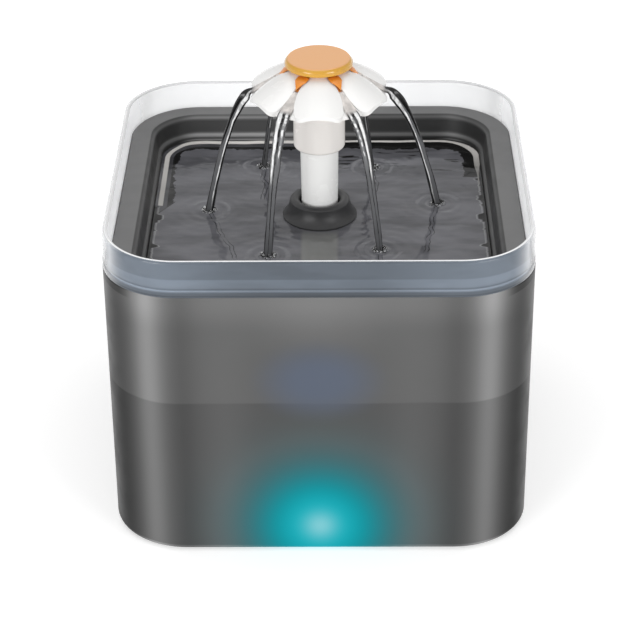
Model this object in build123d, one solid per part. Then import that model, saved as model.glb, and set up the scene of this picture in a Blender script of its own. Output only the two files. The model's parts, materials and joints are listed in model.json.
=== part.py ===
from build123d import *
import os
from math import cos, radians, sin, sqrt

# Square flower fountain for pets.  +Z is up, the front (lamp side) faces -Y, and the
# origin lies on the table under the middle of the tank.  All sizes in millimetres.

# --- feet and tank -------------------------------------------------------------------
foot_stand = 1.0            # how far the rubber feet hold the tank off the table
foot_pocket = 1.0           # depth of each foot's pocket in the tank floor
foot_radius = 7.0
foot_inset = 30.0           # foot centre, in from the tank's outer wall
tank_half = 93.0
tank_corner = 33.5
tank_height = 129.0
tank_wall = 2.6
tank_floor = 3.2
tank_heel = 2.5             # outer rounding under the wall
tank_cove = 4.0             # inner rounding between wall and floor
tank_rim_round = 0.8
notch_half = 5.0            # cord notch in the back rim
notch_depth = 11.0

# --- cord grommet --------------------------------------------------------------------
grommet_hole_radius = 2.6
grommet_slit = 1.0
grommet_lip = 1.5           # inner flange behind the wall
grommet_flange = 1.6        # how far the flange covers the wall round the notch

# --- clear splash guard --------------------------------------------------------------
guard_set_in = 0.5          # guard wall inside the tank's outer face
guard_height = 16.3
guard_wall = 2.4
guard_ledge = 1.5           # thickness of the ledge that carries the tray
guard_ledge_width = 5.8     # ledge inside the guard's wall
guard_bead = 0.4            # foot bead outside the wall
guard_bead_height = 2.9
guard_rim_round = 0.9
skirt_wall = 1.8            # locating skirt that drops into the tank
skirt_drop = 6.0
skirt_gap = 0.4
skirt_notch_gap = 2.4       # skirt notch beyond the grommet's flange, each side

# --- drinking tray -------------------------------------------------------------------
lip_gap = 0.3               # lip inside the guard's wall
lip_corner_ease = 1.4       # extra corner radius of the lip
lip_thick = 2.2
lip_flat = 8.6              # flat part of the lip, outside the bowl's rounded mouth
lip_edge_round = 0.8
mouth_round = 3.0
bowl_depth = 24.7           # lip top to the bowl floor
bowl_step_depth = 8.6       # lip top to the small inner step
bowl_step = 1.2
bowl_wall = 2.2
bowl_draft = 1.0            # how far the wall leans in above and below the step
bowl_cove = 6.0
drain_gap = 3.6             # open ring between the stem hub and the well
drain_collar = 1.3
drain_collar_height = 5.0
spoke_count = 3
spoke_width = 4.0
hub_wall = 2.3

# --- overflow ring -------------------------------------------------------------------
ring_hole_gap = 0.7         # round the stem's foot
ring_crest_radius = 13.5
ring_crest_fall = 1.2       # crest's outer edge below its top
ring_hole_fall = 1.8        # crest's inner edge below its top
ring_hole_land = 2.2        # height of the hole's upright wall
ring_flare_radius = 16.8
ring_flank_bow = 0.7        # how far the flank between crest and flare bows in
ring_edge = 0.8             # chamfer under the flare
ring_skirt_wall = 1.3
ring_fit = 0.3
ring_height = 21.0          # above the bowl floor
ring_flare_height = 12.7
ring_sill_height = 8.2      # lower edge of the overflow windows
ring_window_height = 2.4
ring_window_width = 6.0
ring_window_count = 8

# --- riser, stem and gasket ----------------------------------------------------------
riser_radius = 6.0
riser_bore = 4.7
riser_clear = 24.0          # pump top to the riser's mouth
riser_tip = 6.5             # riser above the stem's top
riser_collar = 2.0
gasket_thick = 1.0
stem_top_radius = 8.6
stem_bottom_radius = 8.25
stem_fit = 0.3              # stem bore over the riser
stem_height = 48.0          # stem above the overflow ring's crest

# --- flower head ---------------------------------------------------------------------
petal_count = 6
collar_radius = 11.5
collar_length = 22.5        # sleeve over the stem, below the seat
collar_fit = 0.3            # collar bore over the stem
collar_foot_round = 1.6
seat_plate = 1.6
seat_radius = 14.0
petal_thick = 1.6
petal_reach = 31.0          # petal tip, from the axis
petal_rise = 14.6           # crest above the seat plate at the hub
petal_tip_rise = 4.2        # crest above the seat plate at the tip
petal_root = 9.5            # radius where a petal starts
petal_root_half = 1.8       # half width of a petal there
petal_half = 10.75          # half width at its widest
petal_waist = 24.5          # radius where it becomes widest
petal_bow = 16.5            # radius of the arch across a petal
petal_skirt = 2.6           # height of a petal's side walls
petal_tip_corner = 5.0
petal_tip_bow = 1.6         # how far the tip's outline bows out
rib_thick = 1.6
rib_reach = 23.0
rib_inset = 0.5             # rib's foot, in from the seat plate's rim
rib_depth = 3.2             # rib's outer end, down from the petal
gutter_thick = 1.4
gutter_step = 1.8           # gutter floor below the petals' edges
gutter_start = 18.6
gutter_reach = 29.5
gutter_root_half = 2.2      # half width of the gutter at its start
gutter_mouth_half = 5.2     # half width at its mouth

# --- orange core and cap -------------------------------------------------------------
core_radius = 9.2
core_fit = 0.1
core_bore_fit = 0.4         # core bore over the riser
core_neck = 2.1             # thick ring at the core's top that takes the cap's plug
core_flange = 3.3           # flange over the petals' roots
flange_gap = 0.1
chute_half = 2.4            # half width of a chute at the core
chute_tip_half = 0.75       # half width at its tip
chute_gap = 0.2             # chute's tip to the gutter's start
chute_drop = 3.9            # chute below the cap's seat at the core
chute_thick = 1.4
chute_sink = 1.0            # how far a chute's root runs into the core's wall
port_width = 3.4
port_height = 1.8
cap_gap = 0.6               # cap's seat above the petals' crests
cap_radius = 15.0
cap_face_radius = 13.6
cap_thick = 3.4
cap_edge = 0.4
cap_plug_radius = 4.6
cap_plug_length = 6.0
cap_plug_fit = 0.2

# --- filter basket -------------------------------------------------------------------
basket_radius = 45.0
basket_wall = 1.6
basket_floor = 1.8
basket_height = 23.3
basket_gap = 0.5            # below the tray's underside
basket_slot_count = 24
basket_slot_width = 2.6
basket_sleeve_radius = 8.6
basket_sleeve_wall = 1.4
basket_sleeve_rise = 2.0     # sleeve above the filter media
basket_slot_margin = 4.0
basket_slot_inset = 16.0
bayonet_count = 3
lug_reach = 2.0
lug_thick = 2.0
lug_angle = 18.0
lug_drop = 1.3              # lug below the basket's rim
hook_thick = 2.2
hook_angle = 26.0
hook_gap = 0.2
hook_side_gap = 0.4
hook_ring_wall = 2.0
carbon_height = 9.0
cotton_height = 3.5
media_gap = 0.4

# --- pump ----------------------------------------------------------------------------
pump_half_width = 23.0
pump_front = -12.0
pump_back = 40.0
cup_height = 3.2            # suction cups between floor and pump
pump_height = 42.6
pump_edge_round = 4.0
rotor_rise = 17.2           # rotor axis above the pump's underside
chamber_radius = 13.5
cover_seat = 2.0            # recess round the chamber for its cover
cover_seat_gap = 0.1
chamber_depth = 12.0
rotor_bore = 8.4
rotor_length = 20.0
rotor_end_gap = 1.5
magnet_radius = 7.6
shaft_radius = 1.2
shaft_fit = 0.05
bush_radius = 4.0
bush_length = 2.4
shaft_seat = 0.4            # bridge hub proud of the chamber cover
shaft_end_gap = 0.2
bridge_arms = 3
bridge_width = 1.4
bridge_hub_radius = 2.4
impeller_radius = 11.0
impeller_blades = 5
blade_thick = 1.4
blade_width = 6.0
impeller_disc = 1.6
impeller_hub_radius = 3.2
impeller_back_gap = 1.2     # disc in front of the chamber's back
magnet_gap = 0.4            # magnet behind the disc
magnet_end_gap = 0.6
eye_radius = 6.0            # intake hole in the chamber cover
chamber_cover_thick = 2.0
core_leg = 5.0              # stator lamination legs
core_gap = 1.2
core_length = 14.0
core_end_gap = 0.6
yoke_rise = 19.0            # rotor axis to the yoke's top
coil_thick = 2.4
pocket_wall = 2.4
pocket_gap = 3.0            # wall between chamber and pocket
rotor_tube_wall = 1.2
outlet_radius = 4.2
outlet_bore = 3.0
outlet_overlap = 8.0        # outlet tube inside the riser
outlet_socket = 5.0
outlet_flange = 2.0
cup_radius = 6.5
cup_lip = 1.1
cup_neck_radius = 2.6
cup_socket = 2.0
cup_hollow = 1.4            # depth of the cup's hollow
cup_inset = 8.5
chin_depth = 9.0            # lamp housing in front of the pump
chin_height = 8.6
lamp_half = 9.0
lamp_thick = 1.6
lamp_height = 5.0
lamp_recess_wall = 2.0
board_thick = 1.6
board_gap = 0.3
led_size = 2.8
led_pitch = 5.5
led_depth = 1.2
chin_inset = 3.0
chin_round = 3.0
led_count = 3
gland_radius = 3.6
gland_length = 5.0
gland_bore = 1.6
gland_neck_radius = 2.8
gland_rib_count = 2
gland_rib_pitch = 2.0
gland_socket = 6.0
gland_inset = 9.0           # gland's axis, in from the housing's top and side
potting_step = 0.8          # potting below the housing's back edge

# --- intake cover, sponge and flow regulator -----------------------------------------
cover_depth = 13.0
cover_wall = 1.8
cover_gap = 0.3
cover_slot_count = 9
cover_slot_width = 1.8
cover_slot_pitch = 4.4
cover_slot_margin = 4.0
sponge_thick = 6.0
sponge_gap = 0.4
sponge_seat = 0.7
clip_reach = 6.0
clip_width = 8.0
clip_thick = 1.4
clip_root = 3.0
clip_slide = 6.0            # extra recess length in front of the clip
dial_radius = 8.5
dial_thick = 2.2
dial_gap = 0.3
dial_pin_radius = 1.6
dial_pin_fit = 0.05
dial_pin_end = 1.4          # snap head behind the hood's wall
snap_lip = 0.4
dial_rim = 1.6
tab_width = 2.0
tab_rise = 1.2
tab_length = 4.4
dial_window_count = 3
dial_window_angle = 50.0

# --- sizes worked out from the ones above --------------------------------------------
tank_base = foot_stand
tank_inside = tank_base + tank_floor
tank_rim = tank_base + tank_height
tank_inner = tank_half - tank_wall
guard_half = tank_half - guard_set_in
guard_corner = tank_corner - guard_set_in
guard_ledge_top = tank_rim + guard_ledge
guard_top = tank_rim + guard_height
lip_half = guard_half - guard_wall - lip_gap
lip_corner = guard_corner - guard_wall - lip_gap + lip_corner_ease
lip_top = guard_ledge_top + lip_thick
bowl_floor = lip_top - bowl_depth
bowl_under = bowl_floor - bowl_wall
bowl_inset = lip_flat + mouth_round + 2 * bowl_draft + bowl_step + bowl_cove
hub_out = riser_radius + stem_fit + hub_wall
drain_radius = hub_out + drain_gap
ring_hole_radius = stem_bottom_radius + ring_hole_gap
ring_top = bowl_floor + ring_height
stem_top = ring_top + stem_height
seat_top = stem_top + seat_plate
collar_bottom = stem_top - collar_length
riser_top = stem_top + riser_tip
petal_crest_top = seat_top + petal_rise
petal_crest_tip = seat_top + petal_tip_rise
cap_seat = petal_crest_top + cap_gap
cap_top = cap_seat + cap_thick
chute_tip = gutter_start - chute_gap
basket_top = bowl_under - basket_gap
basket_bottom = basket_top - basket_height
basket_inside = basket_bottom + basket_floor
media_top = basket_inside + carbon_height + cotton_height
lug_top = basket_top - lug_drop
pump_bottom = tank_inside + cup_height
pump_top = pump_bottom + pump_height
riser_bottom = pump_top + riser_clear
rotor_height = pump_bottom + rotor_rise
chamber_front = pump_front + chamber_cover_thick
chamber_back = chamber_front + chamber_depth
rotor_back = chamber_back + rotor_length + rotor_end_gap
disc_front = chamber_back - impeller_back_gap - impeller_disc
magnet_front = disc_front + impeller_disc + magnet_gap
core_inner = rotor_bore + rotor_tube_wall + core_gap
core_middle = chamber_back + pocket_gap + coil_thick + core_end_gap + core_length / 2
yoke_top = rotor_height + yoke_rise
gland_height = pump_top - gland_inset
gland_x = pump_half_width - gland_inset
chin_front = pump_front - chin_depth
lamp_centre = pump_bottom + chin_height / 2
cover_bottom = pump_bottom + chin_height + cover_gap
cover_front = pump_front - cover_depth
dial_centre = (cover_bottom + pump_top) / 2

parts = {}


def tube(outer, inner, bottom, top):
    """Upright ring between two heights, round the Z axis."""
    wall = Circle(outer) - Circle(inner)
    return extrude(Pos(0, 0, bottom) * wall, top - bottom)


def square_block(half, corner, bottom, top):
    """Upright block with a rounded square plan."""
    return extrude(Pos(0, 0, bottom) * RectangleRounded(2 * half, 2 * half, corner), top - bottom)


def spun(outline, axis=Axis.Z):
    """Solid of revolution from (radius, height) points."""
    return revolve(Plane.XZ * make_face(Polyline(*outline, close=True)), axis)


def wall_around(half, corner, profile):
    """Sweep a flat profile, drawn as (distance outward, height), round a rounded square."""
    path = RectangleRounded(2 * half, 2 * half, corner).wire()
    outward = (path % 0).cross(Vector(0, 0, 1))
    if outward.dot(path @ 0) < 0:
        outward = -outward
    station = Plane(origin=path @ 0, x_dir=outward, z_dir=outward.cross(Vector(0, 0, 1)))
    return sweep(station * profile, path=path)


def along_y(radius, front, back, height=rotor_height, x=0.0):
    """Round bar along Y between two stations."""
    return extrude(Plane((x, front, height), x_dir=(1, 0, 0), z_dir=(0, 1, 0)) * Circle(radius), back - front)


def sector(outer, inner, bottom, top, middle, spread):
    """Part of an upright ring, `spread` degrees wide about the angle `middle`."""
    edge = 2 * outer
    half = radians(spread / 2)
    wedge = Polyline((0, 0), (edge * cos(half), -edge * sin(half)), (edge * cos(half), edge * sin(half)), close=True)
    cutter = extrude(Pos(0, 0, bottom) * Rot(0, 0, middle) * make_face(wedge), top - bottom)
    return tube(outer, inner, bottom, top) & cutter


def polar(count, start=0.0):
    """Evenly spaced turns about the Z axis."""
    return [Rot(0, 0, start + 360 / count * i) for i in range(count)]


def corner_places(reach):
    """The four places at (+-reach, +-reach)."""
    return [(sx * reach, sy * reach) for sx in (-1, 1) for sy in (-1, 1)]


# ---------------------------------------------------------------------------- tank ---
def tank_shell():
    """Smoky moulded tank with foot pockets and a cord notch in the back rim."""
    outside = square_block(tank_half, tank_corner, tank_base, tank_rim)
    outside = fillet(outside.faces().sort_by(Axis.Z)[0].edges(), tank_heel)
    outside = fillet(outside.faces().sort_by(Axis.Z)[-1].edges(), tank_rim_round)
    inside = square_block(tank_inner, tank_corner - tank_wall, tank_inside, tank_rim + 1)
    inside = fillet(inside.faces().sort_by(Axis.Z)[0].edges(), tank_cove)
    shell = outside - inside
    for x, y in corner_places(tank_half - foot_inset):
        shell -= Pos(x, y, tank_base) * Cylinder(foot_radius, 2 * foot_pocket)
    return shell - notch_cut(notch_half, tank_half - 2 * tank_wall, tank_half + 1)


def notch_cut(half, front, back):
    """Round-bottomed slot down from the back rim, `half` wide to each side."""
    return extrude(notch_outline(half, tank_rim + 1, front), back - front)


def notch_outline(half, top, y):
    """U outline in the XZ plane at the given Y."""
    centre = tank_rim - notch_depth + notch_half
    straight = Pos(0, (centre + top) / 2) * Rectangle(2 * half, top - centre)
    rounded = Pos(0, centre) * Circle(half) & Pos(0, centre - half) * Rectangle(2 * half, 2 * half)
    return Plane((0, y, 0), x_dir=(-1, 0, 0), z_dir=(0, 1, 0)) * (straight + rounded)


def cord_grommet():
    """Slit rubber bush that closes the cord notch, flanged inside the wall."""
    body = extrude(notch_outline(notch_half, tank_rim, tank_inner), tank_wall)
    flange = extrude(notch_outline(notch_half + grommet_flange, tank_rim, tank_inner - grommet_lip), grommet_lip)
    hole_height = tank_rim - notch_depth + notch_half
    hole = along_y(grommet_hole_radius, tank_inner - 2 * grommet_lip, tank_half + 1, hole_height)
    slit = Pos(0, tank_inner, hole_height) * Box(
        grommet_slit, 4 * tank_wall, 2 * notch_depth, align=(Align.CENTER, Align.CENTER, Align.MIN))
    return body + flange - hole - slit


def foot():
    """Rubber disc, half sunk in its pocket."""
    disc = Cylinder(foot_radius, foot_stand + foot_pocket, align=(Align.CENTER, Align.CENTER, Align.MIN))
    return chamfer(disc.faces().sort_by(Axis.Z)[0].edges(), 0.4)


# --------------------------------------------------------------------------- guard ---
def splash_guard():
    """Clear upstand with a tray ledge inside and a locating skirt below."""
    skirt_out = tank_inner - skirt_gap - guard_half
    ledge_in = -guard_wall - guard_ledge_width
    upright = Polyline(
        (guard_bead, tank_rim),
        (guard_bead, tank_rim + guard_bead_height - guard_bead),
        (0, tank_rim + guard_bead_height),
        (0, guard_top),
        (-guard_wall, guard_top),
        (-guard_wall, guard_ledge_top),
        (ledge_in, guard_ledge_top),
        (ledge_in, tank_rim),
        (skirt_out - skirt_wall, tank_rim),
        (skirt_out - skirt_wall, tank_rim - skirt_drop),
        (skirt_out, tank_rim - skirt_drop),
        (skirt_out, tank_rim),
        close=True)
    profile = make_face(upright)
    profile = fillet(profile.vertices().sort_by(Axis.Y)[-2:], guard_rim_round)
    guard = wall_around(guard_half, guard_corner, profile)
    notch = Pos(0, tank_inner, tank_rim) * Box(
        2 * (notch_half + grommet_flange + skirt_notch_gap), 4 * skirt_wall, 2 * skirt_drop,
        align=(Align.CENTER, Align.CENTER, Align.MAX))
    return guard - notch


# ---------------------------------------------------------------------------- tray ---
def bowl_profile():
    """Section of lip, wall, step and start of the floor, as (outward, height)."""
    mouth = -lip_flat - mouth_round
    step_z = lip_top - bowl_step_depth
    above = mouth - bowl_draft
    below = above - bowl_step
    foot_in = below - bowl_draft
    edge = foot_in - bowl_cove
    cove_z = bowl_floor + bowl_cove
    mouth_arc = RadiusArc((-lip_flat, lip_top), (mouth, lip_top - mouth_round), -mouth_round)
    wall_high = Line((mouth, lip_top - mouth_round), (above, step_z))
    step = Line((above, step_z), (below, step_z - bowl_step))
    wall_low = Line((below, step_z - bowl_step), (foot_in, cove_z))
    cove = RadiusArc((foot_in, cove_z), (edge, bowl_floor), bowl_cove)
    outside = Polyline(
        (edge, bowl_floor),
        (edge, bowl_under),
        (foot_in + bowl_wall, bowl_under + bowl_wall),
        (foot_in + bowl_wall, cove_z),
        (below + bowl_wall, step_z - bowl_step),
        (above + bowl_wall, step_z),
        (mouth + bowl_wall, guard_ledge_top),
        (0, guard_ledge_top),
        (0, lip_top),
        (-lip_flat, lip_top))
    face = make_face([mouth_arc, wall_high, step, wall_low, cove, *outside.edges()])
    return chamfer(face.vertices().sort_by(Axis.X)[-2:], lip_edge_round)


def drinking_tray():
    """Deep square bowl with a drain well, stem hub and bayonet ring below."""
    tray = wall_around(lip_half, lip_corner, bowl_profile())
    tray += square_block(lip_half - bowl_inset, lip_corner - bowl_inset, bowl_under, bowl_floor)
    tray -= Pos(0, 0, bowl_floor) * Cylinder(drain_radius, 4 * bowl_wall)
    tray += tube(drain_radius + drain_collar, drain_radius, bowl_under, bowl_floor + drain_collar_height)
    tray += tube(hub_out, riser_radius + stem_fit, bowl_under, bowl_floor)
    for turn in polar(spoke_count, 90):
        spoke = Pos((hub_out + drain_radius) / 2, 0, (bowl_under + bowl_floor) / 2) * Box(
            drain_gap + drain_collar, spoke_width, bowl_wall)
        tray += turn * spoke
    return tray + hook_ring()


def hook_ring():
    """Downward ring under the bowl with inward hooks for the filter basket."""
    inner = basket_radius + lug_reach + hook_side_gap
    hook_top = lug_top - lug_thick - hook_gap
    ring = tube(inner + hook_ring_wall, inner, hook_top - hook_thick, bowl_under)
    hook_inner = basket_radius + hook_side_gap
    for i in range(bayonet_count):
        middle = 90 + 360 / bayonet_count * i
        ring += sector(inner + 0.5 * hook_ring_wall, hook_inner, hook_top - hook_thick, hook_top, middle, hook_angle)
    return ring


def overflow_ring():
    """Flared collar round the stem whose windows set the water level."""
    skirt_in = drain_radius + drain_collar + ring_fit
    skirt_out = skirt_in + ring_skirt_wall
    flare_z = bowl_floor + ring_flare_height
    edge_z = flare_z - ring_edge
    crest_z = ring_top - ring_crest_fall
    hole_z = ring_top - ring_hole_fall
    land_z = hole_z - ring_hole_land
    flank = ((ring_flare_radius + ring_crest_radius) / 2 - ring_flank_bow, (flare_z + crest_z) / 2)
    crown = ((ring_hole_radius + ring_crest_radius) / 2, ring_top)
    outline = [
        Line((skirt_in, bowl_floor), (skirt_out, bowl_floor)),
        Line((skirt_out, bowl_floor), (skirt_out, edge_z - ring_edge)),
        Line((skirt_out, edge_z - ring_edge), (ring_flare_radius, edge_z)),
        Line((ring_flare_radius, edge_z), (ring_flare_radius, flare_z)),
        ThreePointArc((ring_flare_radius, flare_z), flank, (ring_crest_radius, crest_z)),
        ThreePointArc((ring_crest_radius, crest_z), crown, (ring_hole_radius, hole_z)),
        Line((ring_hole_radius, hole_z), (ring_hole_radius, land_z)),
        Line((ring_hole_radius, land_z), (skirt_in, flare_z)),
        Line((skirt_in, flare_z), (skirt_in, bowl_floor))]
    ring = revolve(Plane.XZ * make_face(outline), Axis.Z)
    for turn in polar(ring_window_count, 180 / ring_window_count):
        window = Pos(skirt_out, 0, bowl_floor + ring_sill_height + ring_window_height / 2) * Box(
            4 * ring_skirt_wall, ring_window_width, ring_window_height)
        ring -= turn * window
    return ring


# ------------------------------------------------------------------ riser and stem ---
def riser_pipe():
    """Clear pipe from the pump's outlet up into the flower, with a stop collar."""
    collar_z = bowl_floor + gasket_thick
    pipe = tube(riser_radius, riser_bore, riser_bottom, riser_top)
    return pipe + tube(hub_out, riser_bore, collar_z, collar_z + riser_collar)


def riser_gasket():
    """Flat ring between the riser's collar and the tray's hub."""
    return tube(hub_out, riser_radius, bowl_floor, bowl_floor + gasket_thick)


def stem_tube():
    """White stem over the riser, a little wider at its top."""
    bottom = bowl_floor + gasket_thick + riser_collar
    bore = riser_radius + stem_fit
    return spun([
        (bore, bottom),
        (stem_bottom_radius, bottom),
        (stem_bottom_radius, ring_top),
        (stem_top_radius, collar_bottom),
        (stem_top_radius, stem_top),
        (bore, stem_top)])


# -------------------------------------------------------------------------- flower ---
def crest_height(r):
    """Height of a petal's crest at radius r: flat at the hub, steeper at the tip."""
    fall = (r - petal_root) / (petal_reach - petal_root)
    return petal_crest_top - (petal_crest_top - petal_crest_tip) * (0.35 * fall + 0.65 * fall ** 2)


def petal_half_width(r):
    """Half width of a petal's plan at radius r: it swells up to the waist, then stays."""
    short = max(petal_waist - r, 0) / (petal_waist - petal_root)
    return petal_half - (petal_half - petal_root_half) * short ** 2


def edge_height(r):
    """Height of a petal's upper edge at radius r, below its arched crest."""
    return crest_height(r) - petal_bow + sqrt(petal_bow ** 2 - petal_half_width(r) ** 2)


def petal_section(r):
    """Arch across a petal at radius r, with the side walls that line the gutters."""
    half = petal_half_width(r)
    crest = crest_height(r)
    edge = edge_height(r)
    foot = edge - petal_skirt
    outer = ThreePointArc((-half, edge), (0, crest), (half, edge))
    inner = ThreePointArc((half, foot), (0, crest - petal_thick), (-half, foot))
    sides = [Line((half, edge), (half, foot)), Line((-half, foot), (-half, edge))]
    return Plane((r, 0, 0), x_dir=(0, 1, 0), z_dir=(1, 0, 0)) * make_face([outer, inner, *sides])


def petal():
    """One arched petal along +X, its tip rounded in plan."""
    stations = (petal_root, (petal_root + petal_waist) / 2, petal_waist, petal_reach + 1)
    blade = loft([petal_section(r) for r in stations])
    bow = petal_reach - petal_tip_bow
    plan = make_face([
        Line((petal_root, -petal_half), (bow, -petal_half)),
        ThreePointArc((bow, -petal_half), (petal_reach, 0), (bow, petal_half)),
        Line((bow, petal_half), (petal_root, petal_half)),
        Line((petal_root, petal_half), (petal_root, -petal_half))])
    plan = fillet(plan.vertices().sort_by(Axis.X)[-2:], petal_tip_corner)
    return blade & upright(plan)


def upright(plan):
    """Block over a plan, from below the seat plate to above the petals."""
    return extrude(Pos(0, 0, collar_bottom) * plan, cap_top - collar_bottom)


def wedge(start, start_half, reach, reach_half):
    """Plan along +X that widens or narrows evenly between two stations."""
    return make_face(Polyline(
        (start, -start_half), (reach, -reach_half), (reach, reach_half), (start, start_half), close=True))


def gutter_height(r):
    """Height of a gutter's floor at radius r, a step below the petals' edges beside it."""
    return edge_height(r * cos(radians(180 / petal_count))) - gutter_step


def gutter():
    """Sunk channel between two petals, along +X, that leads the water out."""
    middle = (gutter_start + gutter_reach) / 2
    upper = [(r, gutter_height(r)) for r in (gutter_start, middle, gutter_reach)]
    lower = [(r, z - gutter_thick) for r, z in reversed(upper)]
    return spun(upper + lower) & upright(wedge(gutter_start, gutter_root_half, gutter_reach, gutter_mouth_half))


def petal_rib():
    """Upright web under a petal, from the seat plate to the petal's underside."""
    start = core_radius + core_fit
    tip = crest_height(rib_reach) - petal_thick / 2
    crown = petal_crest_top - petal_thick / 2
    outline = [
        (0, stem_top),
        (seat_radius - rib_inset, stem_top),
        (rib_reach, tip - rib_depth),
        (rib_reach, tip),
        (seat_radius, crest_height(seat_radius) - petal_thick / 2),
        (petal_root, crown),
        (0, crown)]
    web = Pos((start + rib_reach) / 2, 0, (stem_top + crown) / 2) * Box(
        rib_reach - start, rib_thick, 2 * (crown - stem_top))
    return web & spun(outline)


def petal_head():
    """White flower: sleeve, seat plate, ribs, petals and gutters in one moulding."""
    bore = stem_top_radius + collar_fit
    sleeve = tube(collar_radius, bore, collar_bottom, seat_top)
    foot_edge = sleeve.faces().sort_by(Axis.Z)[0].edges().sort_by(SortBy.LENGTH)[-1]
    head = fillet(foot_edge, collar_foot_round)
    head += tube(seat_radius, riser_radius + core_bore_fit, stem_top, seat_top)
    bell = petal()
    rib = petal_rib()
    channel = gutter()
    for turn in polar(petal_count, -90):
        head += turn * bell
        head += turn * rib
    for turn in polar(petal_count, -90 + 180 / petal_count):
        head += turn * channel
    middle = core_radius + core_fit
    return head - Pos(0, 0, (seat_top + cap_top) / 2) * Cylinder(middle, cap_top - seat_top)


def chute():
    """Sloping tongue along +X that leads the water from a port to the gutter."""
    root = core_radius - chute_sink
    upper = [(root, cap_seat - chute_drop), (chute_tip, gutter_height(chute_tip))]
    lower = [(r, z - chute_thick) for r, z in reversed(upper)]
    return spun(upper + lower) & upright(wedge(root, chute_half, chute_tip, chute_tip_half))


def flower_core():
    """Orange nozzle: water rises inside and leaves through a port over each chute."""
    neck = cap_seat - core_neck
    core = tube(core_radius, riser_radius + core_bore_fit, seat_top, neck)
    core += tube(core_radius, cap_plug_radius + cap_plug_fit, neck, cap_seat)
    core += tube(core_radius + core_flange, core_radius - core_fit, petal_crest_top + flange_gap, cap_seat)
    tongue = chute()
    port = Pos(core_radius, 0, cap_seat - chute_drop + port_height / 2) * Box(core_radius, port_width, port_height)
    for turn in polar(petal_count, -90 + 180 / petal_count):
        core += turn * tongue
        core -= turn * port
    return core


def centre_cap():
    """Orange disc with a chamfered edge and a plug that seats in the core."""
    return spun([
        (0, cap_seat - cap_plug_length),
        (cap_plug_radius, cap_seat - cap_plug_length),
        (cap_plug_radius, cap_seat),
        (cap_radius - cap_edge, cap_seat),
        (cap_radius, cap_seat + cap_edge),
        (cap_radius, cap_seat + cap_thick / 2),
        (cap_face_radius, cap_top),
        (0, cap_top)])


# -------------------------------------------------------------------------- filter ---
def filter_basket():
    """Round slotted basket with a sleeve round the riser and three bayonet lugs."""
    sleeve_bore = basket_sleeve_radius - basket_sleeve_wall
    basket = tube(basket_radius, basket_radius - basket_wall, basket_bottom, basket_top)
    basket += tube(basket_radius, sleeve_bore, basket_bottom, basket_inside)
    basket += tube(basket_sleeve_radius, sleeve_bore, basket_bottom, media_top + basket_sleeve_rise)
    inner = basket_sleeve_radius + basket_slot_inset
    outer = basket_radius - basket_wall - basket_slot_margin
    slot = Pos((inner + outer) / 2, 0, basket_bottom) * Box(outer - inner, basket_slot_width, 4 * basket_floor)
    for turn in polar(basket_slot_count):
        basket -= turn * slot
    for i in range(bayonet_count):
        middle = 90 + 360 / bayonet_count * i
        basket += sector(
            basket_radius + lug_reach, basket_radius - basket_wall / 2, lug_top - lug_thick, lug_top, middle, lug_angle)
    return basket


def media_disc(bottom, top):
    """Ring of filter media that fills the basket between two heights."""
    return tube(basket_radius - basket_wall - media_gap, basket_sleeve_radius + media_gap, bottom, top)


def carbon_bed():
    """Bed of carbon granules on the basket's floor."""
    return media_disc(basket_inside, basket_inside + carbon_height)


def cotton_pad():
    """Cotton disc on top of the carbon."""
    return media_disc(basket_inside + carbon_height, media_top)


# ---------------------------------------------------------------------------- pump ---
def pump_block(front, back, bottom, top):
    """Housing body with edges rounded along Y."""
    outline = Pos(0, (bottom + top) / 2) * RectangleRounded(2 * pump_half_width, top - bottom, pump_edge_round)
    plane = Plane((0, front, 0), x_dir=(-1, 0, 0), z_dir=(0, 1, 0))
    return extrude(plane * outline, back - front)


def stator_pocket():
    """Rear pocket of the housing that takes core, coil and potting."""
    bottom = pump_bottom + pocket_wall
    top = pump_top - pocket_wall
    back = pump_back + 1
    front = chamber_back + pocket_gap
    return Pos(0, (front + back) / 2, (bottom + top) / 2) * Box(
        2 * (pump_half_width - pocket_wall), back - front, top - bottom)


def rotor_tube():
    """Blind tube in the middle of the pocket in which the magnet turns."""
    return along_y(rotor_bore + rotor_tube_wall, chamber_back, rotor_back + rotor_tube_wall)


def gland_hole():
    """Socket for the cable gland in the housing's back."""
    return along_y(gland_radius, pump_back - gland_socket, pump_back + 1, gland_height, gland_x)


def pump_housing():
    """Moulded pump body with impeller chamber, rotor bore, lamp chin and cup sockets."""
    body = pump_block(pump_front, pump_back, pump_bottom, pump_top)
    body -= stator_pocket()
    body += rotor_tube()
    body += lamp_chin()
    body -= along_y(chamber_radius, pump_front - 1, chamber_back)
    body -= along_y(chamber_radius + cover_seat, pump_front - 1, chamber_front)
    body -= along_y(rotor_bore, chamber_back - 1, rotor_back)
    body -= Pos(0, 0, (rotor_height + pump_top) / 2) * Cylinder(outlet_bore, pump_top - rotor_height + 1)
    body -= Pos(0, 0, pump_top) * Cylinder(outlet_radius, 2 * outlet_socket)
    for x, y in cup_places():
        body -= Pos(x, y, pump_bottom) * Cylinder(cup_neck_radius, 2 * cup_socket)
    body -= gland_hole()
    for side in (-1, 1):
        body -= clip_recess(side)
    return body


def cup_places():
    """Centres of the four suction cups."""
    reach = pump_half_width - cup_inset
    return [(sx * reach, y) for sx in (-1, 1) for y in (pump_front + cup_inset, pump_back - cup_inset)]


def clip_recess(side):
    """Shallow recess in the housing's side that takes a cover clip."""
    return Pos(side * pump_half_width, pump_front + (clip_reach + cover_gap - clip_slide) / 2, dial_centre) * Box(
        2 * (clip_thick + cover_gap), clip_reach + cover_gap + clip_slide, clip_width + 2 * cover_gap)


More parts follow.
